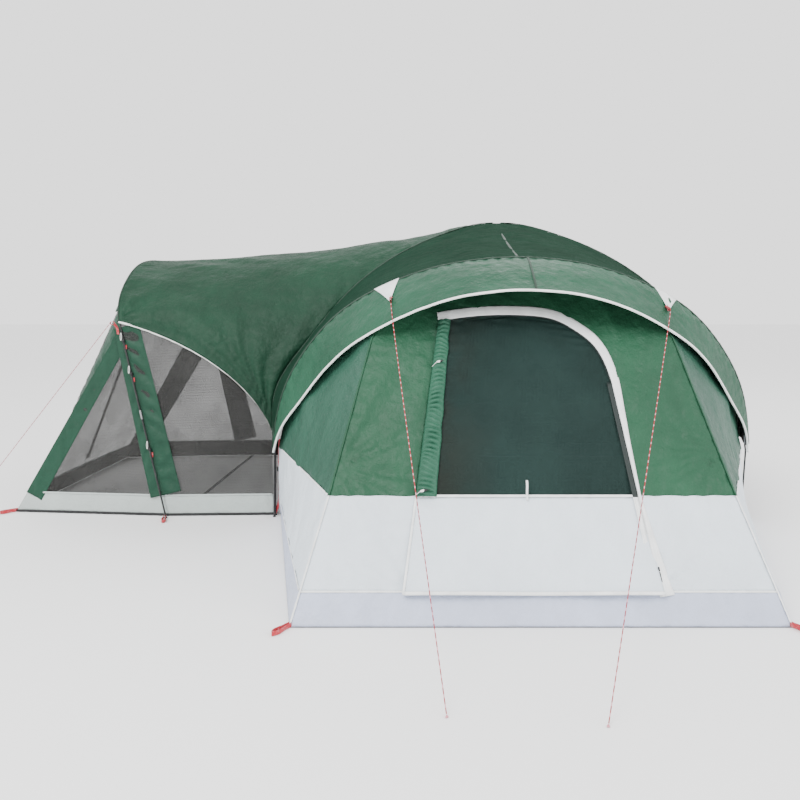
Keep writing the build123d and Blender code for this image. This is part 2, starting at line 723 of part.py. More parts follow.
def make_peg_loops():
    """Red webbing loops flat on the ground outside each corner."""
    corners = [
        (-BAY_HALF_WIDTH, BAY_FRONT, -125), (BAY_HALF_WIDTH, BAY_FRONT, -55),
        (PORCH_END, -PORCH_END_HALF, -140), (PORCH_END, PORCH_END_HALF, 140),
        (-BASE_HALF_WIDTH, BASE_HALF_DEPTH + 12, 110), (BASE_HALF_WIDTH, BASE_HALF_DEPTH + 12, 60),
        (PORCH_POLE_X, -975, -75), (PORCH_POLE_X, 975, 75),
    ]
    for x, y, heading in corners:
        turn = math.radians(heading)
        centre = (x + 62 * math.cos(turn), y + 62 * math.sin(turn), 2)
        loop = Box(84, 26, 4) - Pos(18, 0, 0) * Box(34, 12, 6)
        keep("peg_loops", (Pos(*centre) * Rot(0, 0, heading) * loop).solid())


# ---------------------------------------------------------------- guy lines
# Each line from its loop, over the visor's piped edge where it meets it, to its peg loop.
GUY_LINES = {
    "guy_line_front_left": [(-702, -1743, 1400), (-691, -1886, 1328), (-410, -3137, 9)],
    "guy_line_front_right": [(812, -1712, 1350), (754, -1872, 1297), (126, -3190, 9)],
    "guy_line_porch": [(-2577, -985, 1264), (-2900, -980, 850), (-3560, -952, 9)],
}


def make_guy_lines():
    """Tight cords from the loops to the ground, each ending in a tied knot."""
    for name, route in GUY_LINES.items():
        points = [Vector(*p) for p in route]
        path = bent_path(points)
        keep(name, tube(path, CORD_RADIUS))
        end = path.position_at(1)
        along = path.tangent_at(1)
        middle = Plane(origin=end + along * (KNOT_LENGTH / 2), z_dir=along)
        knot = middle * Cylinder(KNOT_RADIUS, KNOT_LENGTH)
        above_ground = Pos(0, 0, 50) * Box(20000, 20000, 100)
        keep("guy_line_knots", (knot & above_ground).solids())
        print(name, "length", round(path.length), "radii", [round(r) for r in bend_radii(points)])


# ---------------------------------------------------------------- build
def main():
    make_groundsheet()
    make_poles()
    make_pole_feet()
    make_fly()
    make_guy_patches()
    make_front_wall()
    make_gussets()
    make_lining()
    make_door()
    make_porch_walls()
    make_porch_end()
    make_end_tapes()
    make_porch_fittings()
    make_peg_loops()
    make_guy_lines()
    os.makedirs("parts", exist_ok=True)
    for name, solids in PARTS.items():
        whole = Compound(children=solids) if len(solids) > 1 else solids[0]
        export_step(whole, f"parts/{name}.step")
    print(len(PARTS), "nodes")


main()
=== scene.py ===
"""Looks of the dome tent with a screened porch: cloth, mesh, poles, webbing and guy lines."""
import math

import bmesh
import bpy
import numpy as np
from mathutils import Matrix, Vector


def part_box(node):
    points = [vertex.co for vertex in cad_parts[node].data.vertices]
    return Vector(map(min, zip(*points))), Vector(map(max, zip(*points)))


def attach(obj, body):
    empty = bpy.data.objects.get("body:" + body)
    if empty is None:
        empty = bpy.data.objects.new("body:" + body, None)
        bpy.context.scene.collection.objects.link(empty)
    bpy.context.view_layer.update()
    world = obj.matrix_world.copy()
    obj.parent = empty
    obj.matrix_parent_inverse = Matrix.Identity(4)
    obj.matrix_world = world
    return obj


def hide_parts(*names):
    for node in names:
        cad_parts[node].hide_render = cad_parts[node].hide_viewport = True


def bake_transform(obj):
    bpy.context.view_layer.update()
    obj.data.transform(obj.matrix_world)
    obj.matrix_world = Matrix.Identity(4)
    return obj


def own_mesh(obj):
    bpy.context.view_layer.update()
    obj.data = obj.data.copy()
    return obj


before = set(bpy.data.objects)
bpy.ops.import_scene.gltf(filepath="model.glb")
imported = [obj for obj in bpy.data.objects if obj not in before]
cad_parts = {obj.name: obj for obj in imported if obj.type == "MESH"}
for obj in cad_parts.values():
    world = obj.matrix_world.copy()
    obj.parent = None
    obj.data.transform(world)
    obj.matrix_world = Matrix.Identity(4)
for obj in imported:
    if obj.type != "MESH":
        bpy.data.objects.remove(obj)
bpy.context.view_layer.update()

# ---------------------------------------------------------------- places, metres
POLE_RADIUS = 0.0055
pole_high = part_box("main_pole_upper")[1]
HALF_WIDTH = pole_high.x - POLE_RADIUS
HALF_DEPTH = pole_high.y - POLE_RADIUS
HALF_DIAGONAL = math.hypot(HALF_WIDTH, HALF_DEPTH)
TUB_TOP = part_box("tub_wall_front")[1].z
WHITE_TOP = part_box("front_wall_lower")[1].z
WINDOW_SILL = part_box("door_lower_panel")[1].z
SKIRT_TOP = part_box("porch_skirt_near")[1].z
BAY_FRONT = -2.493
BAY_HALF = 1.085
FRONT_LEAN = 0.58
FRONT_STRETCH = 1.156   # length along the leaning front for each metre of height
ARCH_FOOT_Y = -0.930
ARCH_LEAN = -0.39
VISOR_FOOT_Y = -0.742
VISOR_LEAN = -0.853
PORCH_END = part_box("porch_skirt_near")[0].x
PORCH_END_HALF = 0.820
PORCH_POLE_X = -2.2245
PORCH_POLE_LEAN = -0.25
PORCH_WALL_Y = 0.912
FLY_SHARE = 1.009
FLY_LIFT = 0.009
LINING_SHARE = 0.955
POLE_SHOULDER = 1.245
END_BAND = 1.36
GUSSET_FOOT = 0.004
GUSSET_HEAD = 1.46
TOGGLE_LEAN = 0.1279
TOGGLE_MIDDLE = -0.5775

NEAR_LEFT = np.array([-HALF_WIDTH, -HALF_DEPTH])
NEAR_RIGHT = np.array([HALF_WIDTH, -HALF_DEPTH])
FAR_LEFT = np.array([-HALF_WIDTH, HALF_DEPTH])
FAR_RIGHT = np.array([HALF_WIDTH, HALF_DEPTH])

# Half profiles as (half width or distance from the foot, height).
RIB_PROFILE = [(0, 0.500), (0.014, 0.800), (0.204, 1.090), (0.526, 1.450), (0.931, 1.735), (1.300, 1.895),
               (HALF_DIAGONAL, 1.998)]
ARCH_PROFILE = [(1.474, 0.500), (1.370, 0.860), (1.180, 1.155), (1.000, 1.330), (0.780, 1.460),
                (0.480, 1.570), (0, 1.630)]
VISOR_PROFILE = [(1.484, 0.462), (1.400, 0.640), (1.275, 0.800), (0.990, 1.112), (0.700, 1.295),
                 (0.400, 1.412), (0, 1.463)]
PORCH_PROFILE = [(0.930, 1.257), (0.870, 1.365), (0.705, 1.510), (0.420, 1.652), (0, 1.709)]
SEAM_PROFILE = [(BAY_HALF, 0), (1.053, 0.125), (0.960, 0.490), (0.878, 0.860), (0.800, 1.215), (0.690, 1.400),
                (0.520, 1.510), (0.270, 1.580), (0, 1.600)]
GUSSET_BACK = [(1.500, 0), (1.494, 0.125), (1.462, 0.490), (1.352, 0.860), (1.105, 1.190), (0.890, 1.365)]
DOOR_LEFT_FOOT = (-0.590, 0.124)
DOOR_CROWN = [(-0.440, 1.297), (-0.374, 1.308), (-0.209, 1.326), (0.000, 1.328), (0.090, 1.322),
              (0.186, 1.301), (0.289, 1.243), (0.369, 1.173), (0.412, 1.095), (0.440, 0.992)]
DOOR_RIGHT_SIDE = [(0.4955, 0.487), (0.5345, 0.124)]


# ---------------------------------------------------------------- curves and surfaces
def unit(vectors):
    """Vectors of length one along the same directions."""
    return vectors / np.linalg.norm(vectors, axis=-1, keepdims=True)


def safe_unit(vectors, smallest=1e-9):
    return vectors / np.maximum(np.linalg.norm(vectors, axis=-1, keepdims=True), smallest)


def run_length(path):
    """The length of a path up to each of its points."""
    return np.concatenate([[0], np.cumsum(np.linalg.norm(np.diff(path, axis=0), axis=1))])


def polyline(points):
    """Straight runs through the points, as a function of the share of the length."""
    p = np.array(points, float)
    length = run_length(p)
    length /= length[-1]

    def at(t):
        t = np.asarray(t, float)
        return np.stack([np.interp(t, length, p[:, d]) for d in range(p.shape[1])], axis=-1)

    return at


def spline(points, samples=240):
    """A natural cubic spline through the points, as a function of the share of its length."""
    p = np.array(points, float)
    n = len(p)
    chord = run_length(p)
    h = np.diff(chord)
    a = np.zeros((n, n))
    b = np.zeros_like(p)
    a[0, 0] = a[-1, -1] = 1
    for i in range(1, n - 1):
        a[i, i - 1:i + 2] = h[i - 1], 2 * (h[i - 1] + h[i]), h[i]
        b[i] = 6 * ((p[i + 1] - p[i]) / h[i] - (p[i] - p[i - 1]) / h[i - 1])
    m = np.linalg.solve(a, b)
    s = np.linspace(0, chord[-1], samples)
    k = np.clip(np.searchsorted(chord, s, side="right") - 1, 0, n - 2)
    left = (s - chord[k])[:, None]
    right = (chord[k + 1] - s)[:, None]
    hk = h[k][:, None]
    dense = (m[k] * right ** 3 + m[k + 1] * left ** 3) / (6 * hk)
    dense += (p[k] / hk - m[k] * hk / 6) * right + (p[k + 1] / hk - m[k + 1] * hk / 6) * left
    return polyline(dense)


def hoop(half):
    left = [(-a, z) for a, z in half]
    right = [(a, z) for a, z in reversed(half[:-1])]
    return spline(left + right)


RIB = hoop([(HALF_DIAGONAL - s, z) for s, z in RIB_PROFILE])
ARCH = hoop(ARCH_PROFILE)
VISOR = hoop(VISOR_PROFILE)
PORCH_ARCH = hoop(PORCH_PROFILE)


def points3(x, y, z):
    x, y, z = np.broadcast_arrays(x, y, z)
    return np.stack([x, y, z], axis=-1)


def rib_point(corner, t, share=1.0):
    at = RIB(np.asarray(t) / 2)
    inward = -at[..., 0] / HALF_DIAGONAL * share
    return points3(corner[0] * inward, corner[1] * inward, at[..., 1] * share)


def arch_y(z):
    return ARCH_FOOT_Y + ARCH_LEAN * z


def arch_point(u, share=1.0):
    at = ARCH(u)
    return points3(at[..., 0] * share, arch_y(at[..., 1]) * share, at[..., 1] * share)


def visor_point(u):
    at = VISOR(u)
    return points3(at[..., 0], VISOR_FOOT_Y + VISOR_LEAN * at[..., 1], at[..., 1])


def porch_point(u, grow=0.0):
    at = PORCH_ARCH(u)
    z = at[..., 1]
    return points3(PORCH_POLE_X + PORCH_POLE_LEAN * z, at[..., 0] * (1 + grow / 0.93), z + grow)


def two_ribs(first, second, u, share=1.0):
    u = np.asarray(u, float)
    rising = rib_point(first, np.clip(2 * u, 0, 1), share)
    falling = rib_point(second, np.clip(2 * (1 - u), 0, 1), share)
    return np.where((u <= 0.5)[..., None], rising, falling)


def lerp(a, b, s):
    s = np.asarray(s)[..., None]
    return a * (1 - s) + b * s


def front_y(z):
    return BAY_FRONT + FRONT_LEAN * z


FRONT_NORMAL = np.array([0, -1, FRONT_LEAN]) / math.hypot(1, FRONT_LEAN)


def on_front(x, z, off=0.0):
    base = points3(x, front_y(z), z)
    return base + np.asarray(off)[..., None] * FRONT_NORMAL


def lift(z=FLY_LIFT):
    return np.array([0, 0, z])


def fly_ridge(first, second):
    return lambda u: two_ribs(first, second, u, FLY_SHARE) + lift()


def fly_brow(u):
    return arch_point(u, FLY_SHARE) + lift()


def front_gore(u, v):
    sag = -0.022 * 4 * v * (1 - v)
    return lerp(fly_ridge(NEAR_LEFT, NEAR_RIGHT)(u), fly_brow(u), v) + sag[..., None] * np.array([0, 0, 1])


def visor(u, v):
    bow = 0.012 * 4 * v * (1 - v)
    return lerp(fly_brow(u), visor_point(u), v) + bow[..., None] * np.array([0, -0.4, 0.9])


def gore_between(first, second):
    def surface(u, v):
        a = rib_point(first, u * 0.997, FLY_SHARE) + lift()
        b = rib_point(second, u * 0.997, FLY_SHARE) + lift()
        middle = (a + b) / 2
        inward = -safe_unit(middle, 0.2)
        sag = (0.020 * 4 * v * (1 - v) * np.linalg.norm(b - a, axis=-1) / 2)[..., None]
        return lerp(a, b, v) + inward * sag
    return surface


def canopy(u, v):
    ridge = fly_ridge(NEAR_LEFT, FAR_LEFT)(u)
    end = porch_point(u, 2 * FLY_LIFT)
    edge = np.abs(2 * u - 1) ** 3
    rise = 0.5 * np.sqrt(v) * (1 - v) * edge - 0.064 * 4 * v * (1 - v) * (1 - edge)
    return lerp(ridge, end, v) + rise[..., None] * np.array([0, 0, 1])


def profile_x(profile, z):
    heights = [p[1] for p in profile]
    return np.interp(z, heights, [p[0] for p in profile])


def gusset(side):
    def surface(u, v):
        z = GUSSET_FOOT + (GUSSET_HEAD - GUSSET_FOOT) * v
        back_z = np.where(z <= 0.86, z, 0.86 + (z - 0.86) * 0.9)
        front = points3(side * profile_x(SEAM_PROFILE, z), front_y(z), z)
        rear = points3(side * (profile_x(GUSSET_BACK, np.minimum(back_z, 1.365)) - 0.012),
                       arch_y(back_z) + 0.022, back_z)
        return lerp(front, rear, u)
    return surface


DOOR_CURVE = polyline([DOOR_LEFT_FOOT, *spline(DOOR_CROWN)(np.linspace(0, 1, 40)), *DOOR_RIGHT_SIDE])
WALL_OUTLINE = polyline([(-x, z) for x, z in SEAM_PROFILE[1:]] + [(x, z) for x, z in SEAM_PROFILE[-2:0:-1]])


def front_wall(u, v):
    """The green and white wall around the door: u along the door's edge, v out to the seams."""
    inner, outer = DOOR_CURVE(u), WALL_OUTLINE(u)
    at = lerp(inner, outer, v)
    return on_front(at[..., 0], at[..., 1])


def front_tub(u, v):
    z = 0.004 + (TUB_TOP - 0.004) * v
    x = profile_x(SEAM_PROFILE, z) * (2 * u - 1)
    return on_front(x, z)


def door_sides(z):
    """Left and right edge of the door at a height."""
    outline = DOOR_CURVE(np.linspace(0, 1, 600))
    top = int(np.argmax(outline[:, 1]))
    left = np.interp(z, outline[:top + 1, 1], outline[:top + 1, 0])
    right = np.interp(z, outline[top:, 1][::-1], outline[top:, 0][::-1])
    return left, right


def door_leaf(z_low, z_high, ease=1.0):
    def surface(u, v):
        z = z_high - (z_high - z_low) * (1 - v) ** ease
        left, right = door_sides(z)
        return on_front(left * (1 - u) + right * u, z, 0.001)
    return surface


def porch_corners(side):
    end = np.array([PORCH_END, side * PORCH_END_HALF, 0.003])
    foot = np.array([PORCH_POLE_X, side * PORCH_WALL_Y, 0.003])
    dome = np.array([-HALF_WIDTH - 0.012, side * (HALF_DEPTH - 0.004), 0.003])
    shoulder = np.array([PORCH_POLE_X + PORCH_POLE_LEAN * 1.24, side * (PORCH_WALL_Y - 0.004), POLE_SHOULDER])
    return end, foot, dome, shoulder


def porch_outer(side):
    end, foot, _, shoulder = porch_corners(side)
    return lambda u, v: lerp(lerp(end, foot, u), np.broadcast_to(shoulder, np.shape(u) + (3,)), v * 0.995)


def porch_inner(side):
    _, foot, dome, _ = porch_corners(side)
    edge_u = 0.0 if side < 0 else 1.0

    def surface(u, v):
        top = canopy(np.full(np.shape(u), edge_u), 1 - u * 0.985)
        top = top - np.array([0, side * 0.022, 0.012])
        return lerp(lerp(foot, dome, u), top, v)
    return surface


def end_wall(u, s):
    foot = points3(PORCH_END + 0.004, PORCH_END_HALF * (2 * u - 1) * 0.995, 0.003)
    head = porch_point(u, -0.012) + np.array([0.006, 0, 0])
    return lerp(foot, head, s)


def lining(first, second, inward):
    def surface(u, v):
        low = v < 0.22
        height = np.clip(v / 0.22, 0, 1) * (0.5 * LINING_SHARE)
        t = np.clip((v - 0.22) / 0.78, 0, 1) * 0.97

        def corner_line(corner):
            leg = points3(corner[0] * LINING_SHARE, corner[1] * LINING_SHARE, 0.004 + height)
            return np.where(low[..., None], leg, rib_point(corner, t, LINING_SHARE)) + inward
        return lerp(corner_line(first), corner_line(second), 0.008 + 0.984 * u)
    return surface


def lining_front(u, v):
    ridge = two_ribs(NEAR_LEFT, NEAR_RIGHT, 0.03 + 0.94 * u, LINING_SHARE)
    brow = arch_point(0.03 + 0.94 * u, 0.985) + np.array([0, 0.02, -0.02])
    return lerp(ridge, brow, v)


def groundsheet(u, v):
    half_back, back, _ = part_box("groundsheet")[1]
    corner = -HALF_DEPTH * LINING_SHARE
    y = back + (BAY_FRONT - back) * v
    slant = half_back + (BAY_HALF - half_back) * (corner - y) / (corner - BAY_FRONT)
    half = np.where(y > corner, half_back, slant)
    return points3(half * (2 * u - 1), y, 0.0016)


# ---------------------------------------------------------------- folds
NOISE_CELLS = 128


def ease(x):
    return x * x * (3 - 2 * x)


def value_noise(x, y, seed):
    """A smooth random field on a plane, from -1 to 1."""
    table = np.random.default_rng(seed).uniform(-1, 1, (NOISE_CELLS, NOISE_CELLS))
    xi, yi = np.floor(x).astype(int), np.floor(y).astype(int)
    fx, fy = ease(x - xi), ease(y - yi)
    x0, y0 = xi % NOISE_CELLS, yi % NOISE_CELLS
    x1, y1 = (xi + 1) % NOISE_CELLS, (yi + 1) % NOISE_CELLS
    low = table[x0, y0] * (1 - fx) + table[x1, y0] * fx
    high = table[x0, y1] * (1 - fx) + table[x1, y1] * fx
    return low * (1 - fy) + high * fy


def crumple(x, y, seed, size=0.12):
    """Sharp-ridged creases about size metres apart."""
    total = 0
    for k in range(3):
        f = 2 ** k / size
        total = total + (1 - 2 * np.abs(value_noise(x * f + 7 * k, y * f, seed + k))) / 1.8 ** k
    return total / 2


def step(x, width):
    return ease(np.clip(x / width, 0, 1))


def make_folds(amount=0.004, size=0.16, puckers=0.003, pitch=0.07, free=(), rays=(), long_folds=0.0,
               long_axis=0, seed=1):
    """Folds of a stretched panel. free names the sides that aren't sewn, of u0 u1 v0 v1; rays are
    (u, v, reach, height, count) corners that folds run out from."""
    def folds(u, v, su, sv, wu, wv):
        sides = {"u0": su, "u1": wu - su, "v0": sv, "v1": wv - sv}
        sewn = np.full(np.shape(u), 9.0)
        for name, distance in sides.items():
            if name not in free:
                sewn = np.minimum(sewn, distance)
        pin = step(sewn, 0.05)
        bump = amount * crumple(su, sv, seed, size)
        bump = bump + amount * 0.6 * value_noise(su / (size * 2.6), sv / (size * 2.6), seed + 11)
        if long_folds:
            across, along = (sv, su) if long_axis == 0 else (su, sv)
            bump = bump + long_folds * value_noise(across / 0.11, along / 0.75, seed + 21)
        along_edge = np.where(sides["u0"] + 0 * u < sides["v0"], sv, su)
        near = sewn / 0.035
        bump = bump * pin
        drift = 2.5 * value_noise(along_edge / 0.2, sewn * 3, seed + 5)
        wave = np.sin(2 * math.pi * along_edge / pitch + drift)
        uneven = 0.6 + 0.4 * value_noise(su / 0.4, sv / 0.4, seed + 6)
        bump = bump + puckers * wave * near * np.exp(1 - near) * uneven
        for cu, cv, reach, height, count in rays:
            dx, dy = (u - cu) * wu, (v - cv) * wv
            r = np.sqrt(dx * dx + dy * dy)
            angle = np.arctan2(dy, dx)
            fan = np.sin(angle * count + 1.7 * value_noise(angle * 3, r * 2, seed + 9))
            bump = bump + height * fan * np.exp(-r / reach) * step(r, 0.08) * pin
        return bump
    return folds


# ---------------------------------------------------------------- mesh helpers
CLOTH_SIZES = {}
FLAT_SIZES = []


def link(obj):
    bpy.context.scene.collection.objects.link(obj)
    return obj


def mesh_object(name, vertices, faces, uvs=None, smooth=True):
    mesh = bpy.data.meshes.new(name)
    mesh.from_pydata([tuple(map(float, v)) for v in vertices], [], [tuple(map(int, f)) for f in faces])
    if uvs is not None:
        layer = mesh.uv_layers.new(name="cloth")
        index = np.zeros(len(mesh.loops), int)
        mesh.loops.foreach_get("vertex_index", index)
        layer.data.foreach_set("uv", np.asarray(uvs, np.float32)[index].ravel())
    mesh.update()
    if smooth:
        mesh.shade_smooth()
    return link(bpy.data.objects.new(name, mesh))


def solidify(obj, thickness, two_sided=False):
    """Gives the sheet its thickness for good, half to each side."""
    modifier = obj.modifiers.new("thickness", "SOLIDIFY")
    modifier.thickness = thickness
    modifier.offset = 0
    if two_sided:
        modifier.material_offset = 1
    apply_modifiers(obj)


def apply_modifiers(obj):
    bpy.context.view_layer.update()
    evaluated = obj.evaluated_get(bpy.context.evaluated_depsgraph_get())
    mesh = bpy.data.meshes.new_from_object(evaluated)
    obj.modifiers.clear()
    obj.data = mesh


def grid_mesh(name, at, uv):
    """A sheet over a grid of points; its faces look along (rows) x (columns)."""
    rows, columns = at.shape[:2]
    index = np.arange(rows * columns).reshape(rows, columns)
    faces = np.stack([index[:-1, :-1], index[1:, :-1], index[1:, 1:], index[:-1, 1:]], axis=-1).reshape(-1, 4)
    return mesh_object(name, at.reshape(-1, 3), faces, uv.reshape(-1, 2))


def cloth(name, surface, nu, nv, folds=None, out=(0, 0, 1), u_range=(0, 1), v_range=(0, 1)):
    """A sheet over surface(u, v), with folds along its outward normal; thickness comes later."""
    u, v = np.meshgrid(np.linspace(*u_range, nu + 1), np.linspace(*v_range, nv + 1), indexing="ij")
    at = surface(u, v)
    du, dv = np.gradient(at, axis=0), np.gradient(at, axis=1)
    normal = safe_unit(np.cross(du, dv))
    inside_out = (normal * np.array(out)).sum() < 0
    if inside_out:
        normal = -normal
    step_u = np.linalg.norm(np.diff(at, axis=0, prepend=at[:1]), axis=-1)
    step_v = np.linalg.norm(np.diff(at, axis=1, prepend=at[:, :1]), axis=-1)
    su, sv = np.cumsum(step_u, axis=0), np.cumsum(step_v, axis=1)
    wu, wv = su[-1:, :], sv[:, -1:]
    cell = np.linalg.norm(np.cross(du, dv), axis=-1)
    CLOTH_SIZES[name] = (float(wu.max()), float(wv.max()), float(cell[:-1, :-1].sum()))
    if folds:
        at = at + normal * folds(u, v, su, sv, np.maximum(wu, 1e-3), np.maximum(wv, 1e-3))[..., None]
    uv = np.stack([su, sv], axis=-1)
    if inside_out:
        at, uv = at[::-1], uv[::-1]
    return grid_mesh(name, at, uv)


def split_height(obj, z, upper_name, lower_name):
    """Cuts a sheet in two at a height. The first object keeps the upper part."""
    pieces = []
    for name, keep_upper in ((upper_name, True), (lower_name, False)):
        bm = bmesh.new()
        bm.from_mesh(obj.data)
        bmesh.ops.bisect_plane(bm, geom=bm.verts[:] + bm.edges[:] + bm.faces[:], plane_co=(0, 0, z),
                               plane_no=(0, 0, 1), clear_inner=keep_upper, clear_outer=not keep_upper)
        mesh = bpy.data.meshes.new(name)
        bm.to_mesh(mesh)
        bm.free()
        pieces.append(link(bpy.data.objects.new(name, mesh)))
        width, length, _ = CLOTH_SIZES[obj.name]
        face_area = sum(p.area for p in mesh.polygons)
        zs = [vert.co.z for vert in mesh.vertices]
        share = (max(zs) - min(zs)) / max(1e-6, max(vert.co.z for vert in obj.data.vertices))
        CLOTH_SIZES[name] = (width, max(length * min(1.0, share * 1.1), face_area / width), face_area)
    bpy.data.objects.remove(obj)
    return pieces


def declare(obj):
    """States a sheet's flat size: its longest width and length, and the area of its cut."""
    width, length, area = CLOTH_SIZES[obj.name]
    width, length = round(width + 0.005, 2), round(length + 0.005, 2)
    area = min(round(area, 3), width * length)
    if area < 0.31 * width * length:
        length = round(area / (0.5 * width), 2)
    FLAT_SIZES.append((obj.name, width, length, area))


def dress(obj, material, slot, body="tent", nodes=()):
    """Coats a piece, places it on its body and hides its CAD nodes; the slot is not used."""
    obj.data.materials.clear()
    obj.data.materials.append(MATERIALS[material])
    place(obj, slot, body, nodes)
    return obj


def place(obj, slot, body, nodes):
    if body:
        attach(obj, body)
    if nodes:
        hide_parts(*nodes)


def finish_cloth(obj, material, slot, body="tent", nodes=(),
                 thickness=0.0012, inside=None):
    """Coats, declares and places a sheet. Netting has no thickness; inside is the colour of its back."""
    obj.data.materials.clear()
    obj.data.materials.append(MATERIALS[material])
    if inside:
        obj.data.materials.append(MATERIALS[inside])
    if thickness:
        solidify(obj, thickness, bool(inside))
    declare(obj)
    place(obj, slot, body, nodes)
    return obj


def frames_along(path):
    """A steady pair of directions square to a path."""
    path = np.asarray(path, float)
    tangent = unit(np.gradient(path, axis=0))
    side = np.cross(tangent[0], [0, 0, 1])
    if np.linalg.norm(side) < 0.1:
        side = np.cross(tangent[0], [0, 1, 0])
    sides = []
    for t in tangent:
        side = side - t * np.dot(side, t)
        side = side / np.linalg.norm(side)
        sides.append(side)
    sides = np.array(sides)
    return sides, np.cross(tangent, sides)


def tube_mesh(name, path, radius, around=12, closed_ends=True):
    """A round or shaped tube: radius is a number, or a function of (index share, angle)."""
    path = np.asarray(path, float)
    sides, ups = frames_along(path)
    angle = np.linspace(0, 2 * math.pi, around, endpoint=False)
    share = np.linspace(0, 1, len(path))
    rows = []
    for k, p in enumerate(path):
        r = radius(share[k], angle) if callable(radius) else np.full(around, radius)
        across = (r * np.cos(angle))[:, None] * sides[k]
        rows.append(p + across + (r * np.sin(angle))[:, None] * ups[k])
    vertices = np.concatenate(rows)
    faces = []
    for k in range(len(path) - 1):
        for j in range(around):
            n = (j + 1) % around
            faces.append((k * around + j, k * around + n, (k + 1) * around + n, (k + 1) * around + j))
    if closed_ends:
        faces.append(tuple(reversed(range(around))))
        faces.append(tuple(range((len(path) - 1) * around, len(path) * around)))
    length = run_length(path)
    uvs = [(length[k], 0.01 * j) for k in range(len(path)) for j in range(around)]
    return mesh_object(name, vertices, faces, uvs)


def ribbon(name, path, normals, width, thickness=0.0014, crown=0.0, lift_by=0.002, across=5, ruffle=0.0,
           pitch=0.03, seed=3):
    """A flat strap or seam tape along a path, lying on a surface with the given normals."""
    path = np.asarray(path, float)
    normals = np.broadcast_to(np.asarray(normals, float), path.shape)
    side = unit(np.cross(normals, unit(np.gradient(path, axis=0))))
    length = run_length(path)
    rows, uv = [], []
    for j, c in enumerate(np.linspace(-0.5, 0.5, across)):
        height = lift_by + crown * (1 - 4 * c * c)
        drift = 2 * value_noise(length / 0.11, 0 * length + j, seed)
        wave = ruffle * np.sin(2 * math.pi * length / pitch + drift)
        wave = wave + ruffle * 0.7 * value_noise(length / 0.05, 0 * length + c * 3, seed + 4)
        rows.append(path + side * (c * width) + normals * (height + wave)[:, None])
        uv.append(np.stack([length, 0 * length + (c + 0.5) * width], axis=-1))
    obj = grid_mesh(name, np.stack(rows, axis=1), np.stack(uv, axis=1))
    solidify(obj, thickness)
    return obj


def join(name, objects):
    """Several meshes as one piece."""
    objects = list(objects)
    bm = bmesh.new()
    for obj in objects:
        obj.data.transform(obj.matrix_world)
        bm.from_mesh(obj.data)
    mesh = bpy.data.meshes.new(name)
    bm.to_mesh(mesh)
    bm.free()
    for obj in objects:
        bpy.data.objects.remove(obj)
    return link(bpy.data.objects.new(name, mesh))


def rounded_box(name, centre, size, axes=None, bevel=0.15):
    """A box with rounded edges; axes are three directions for its sides."""
    bm = bmesh.new()
    bmesh.ops.create_cube(bm, size=1)
    axes = np.eye(3) if axes is None else unit(np.asarray(axes, float))
    for vert in bm.verts:
        local = np.array(vert.co) * np.array(size)
        vert.co = Vector(np.array(centre) + local @ axes)
    bmesh.ops.bevel(bm, geom=bm.edges[:], offset=min(size) * bevel, segments=3, affect="EDGES", profile=0.6)
    mesh = bpy.data.meshes.new(name)
    bm.to_mesh(mesh)
    bm.free()
    mesh.shade_smooth()
    return link(bpy.data.objects.new(name, mesh))


# ---------------------------------------------------------------- materials
def linear(r, g, b):
    """A colour given as it shows, 0 to 255, as linear light."""
    def channel(c):
        c = c / 255
        return c / 12.92 if c <= 0.04045 else ((c + 0.055) / 1.055) ** 2.4
    return channel(r), channel(g), channel(b), 1.0


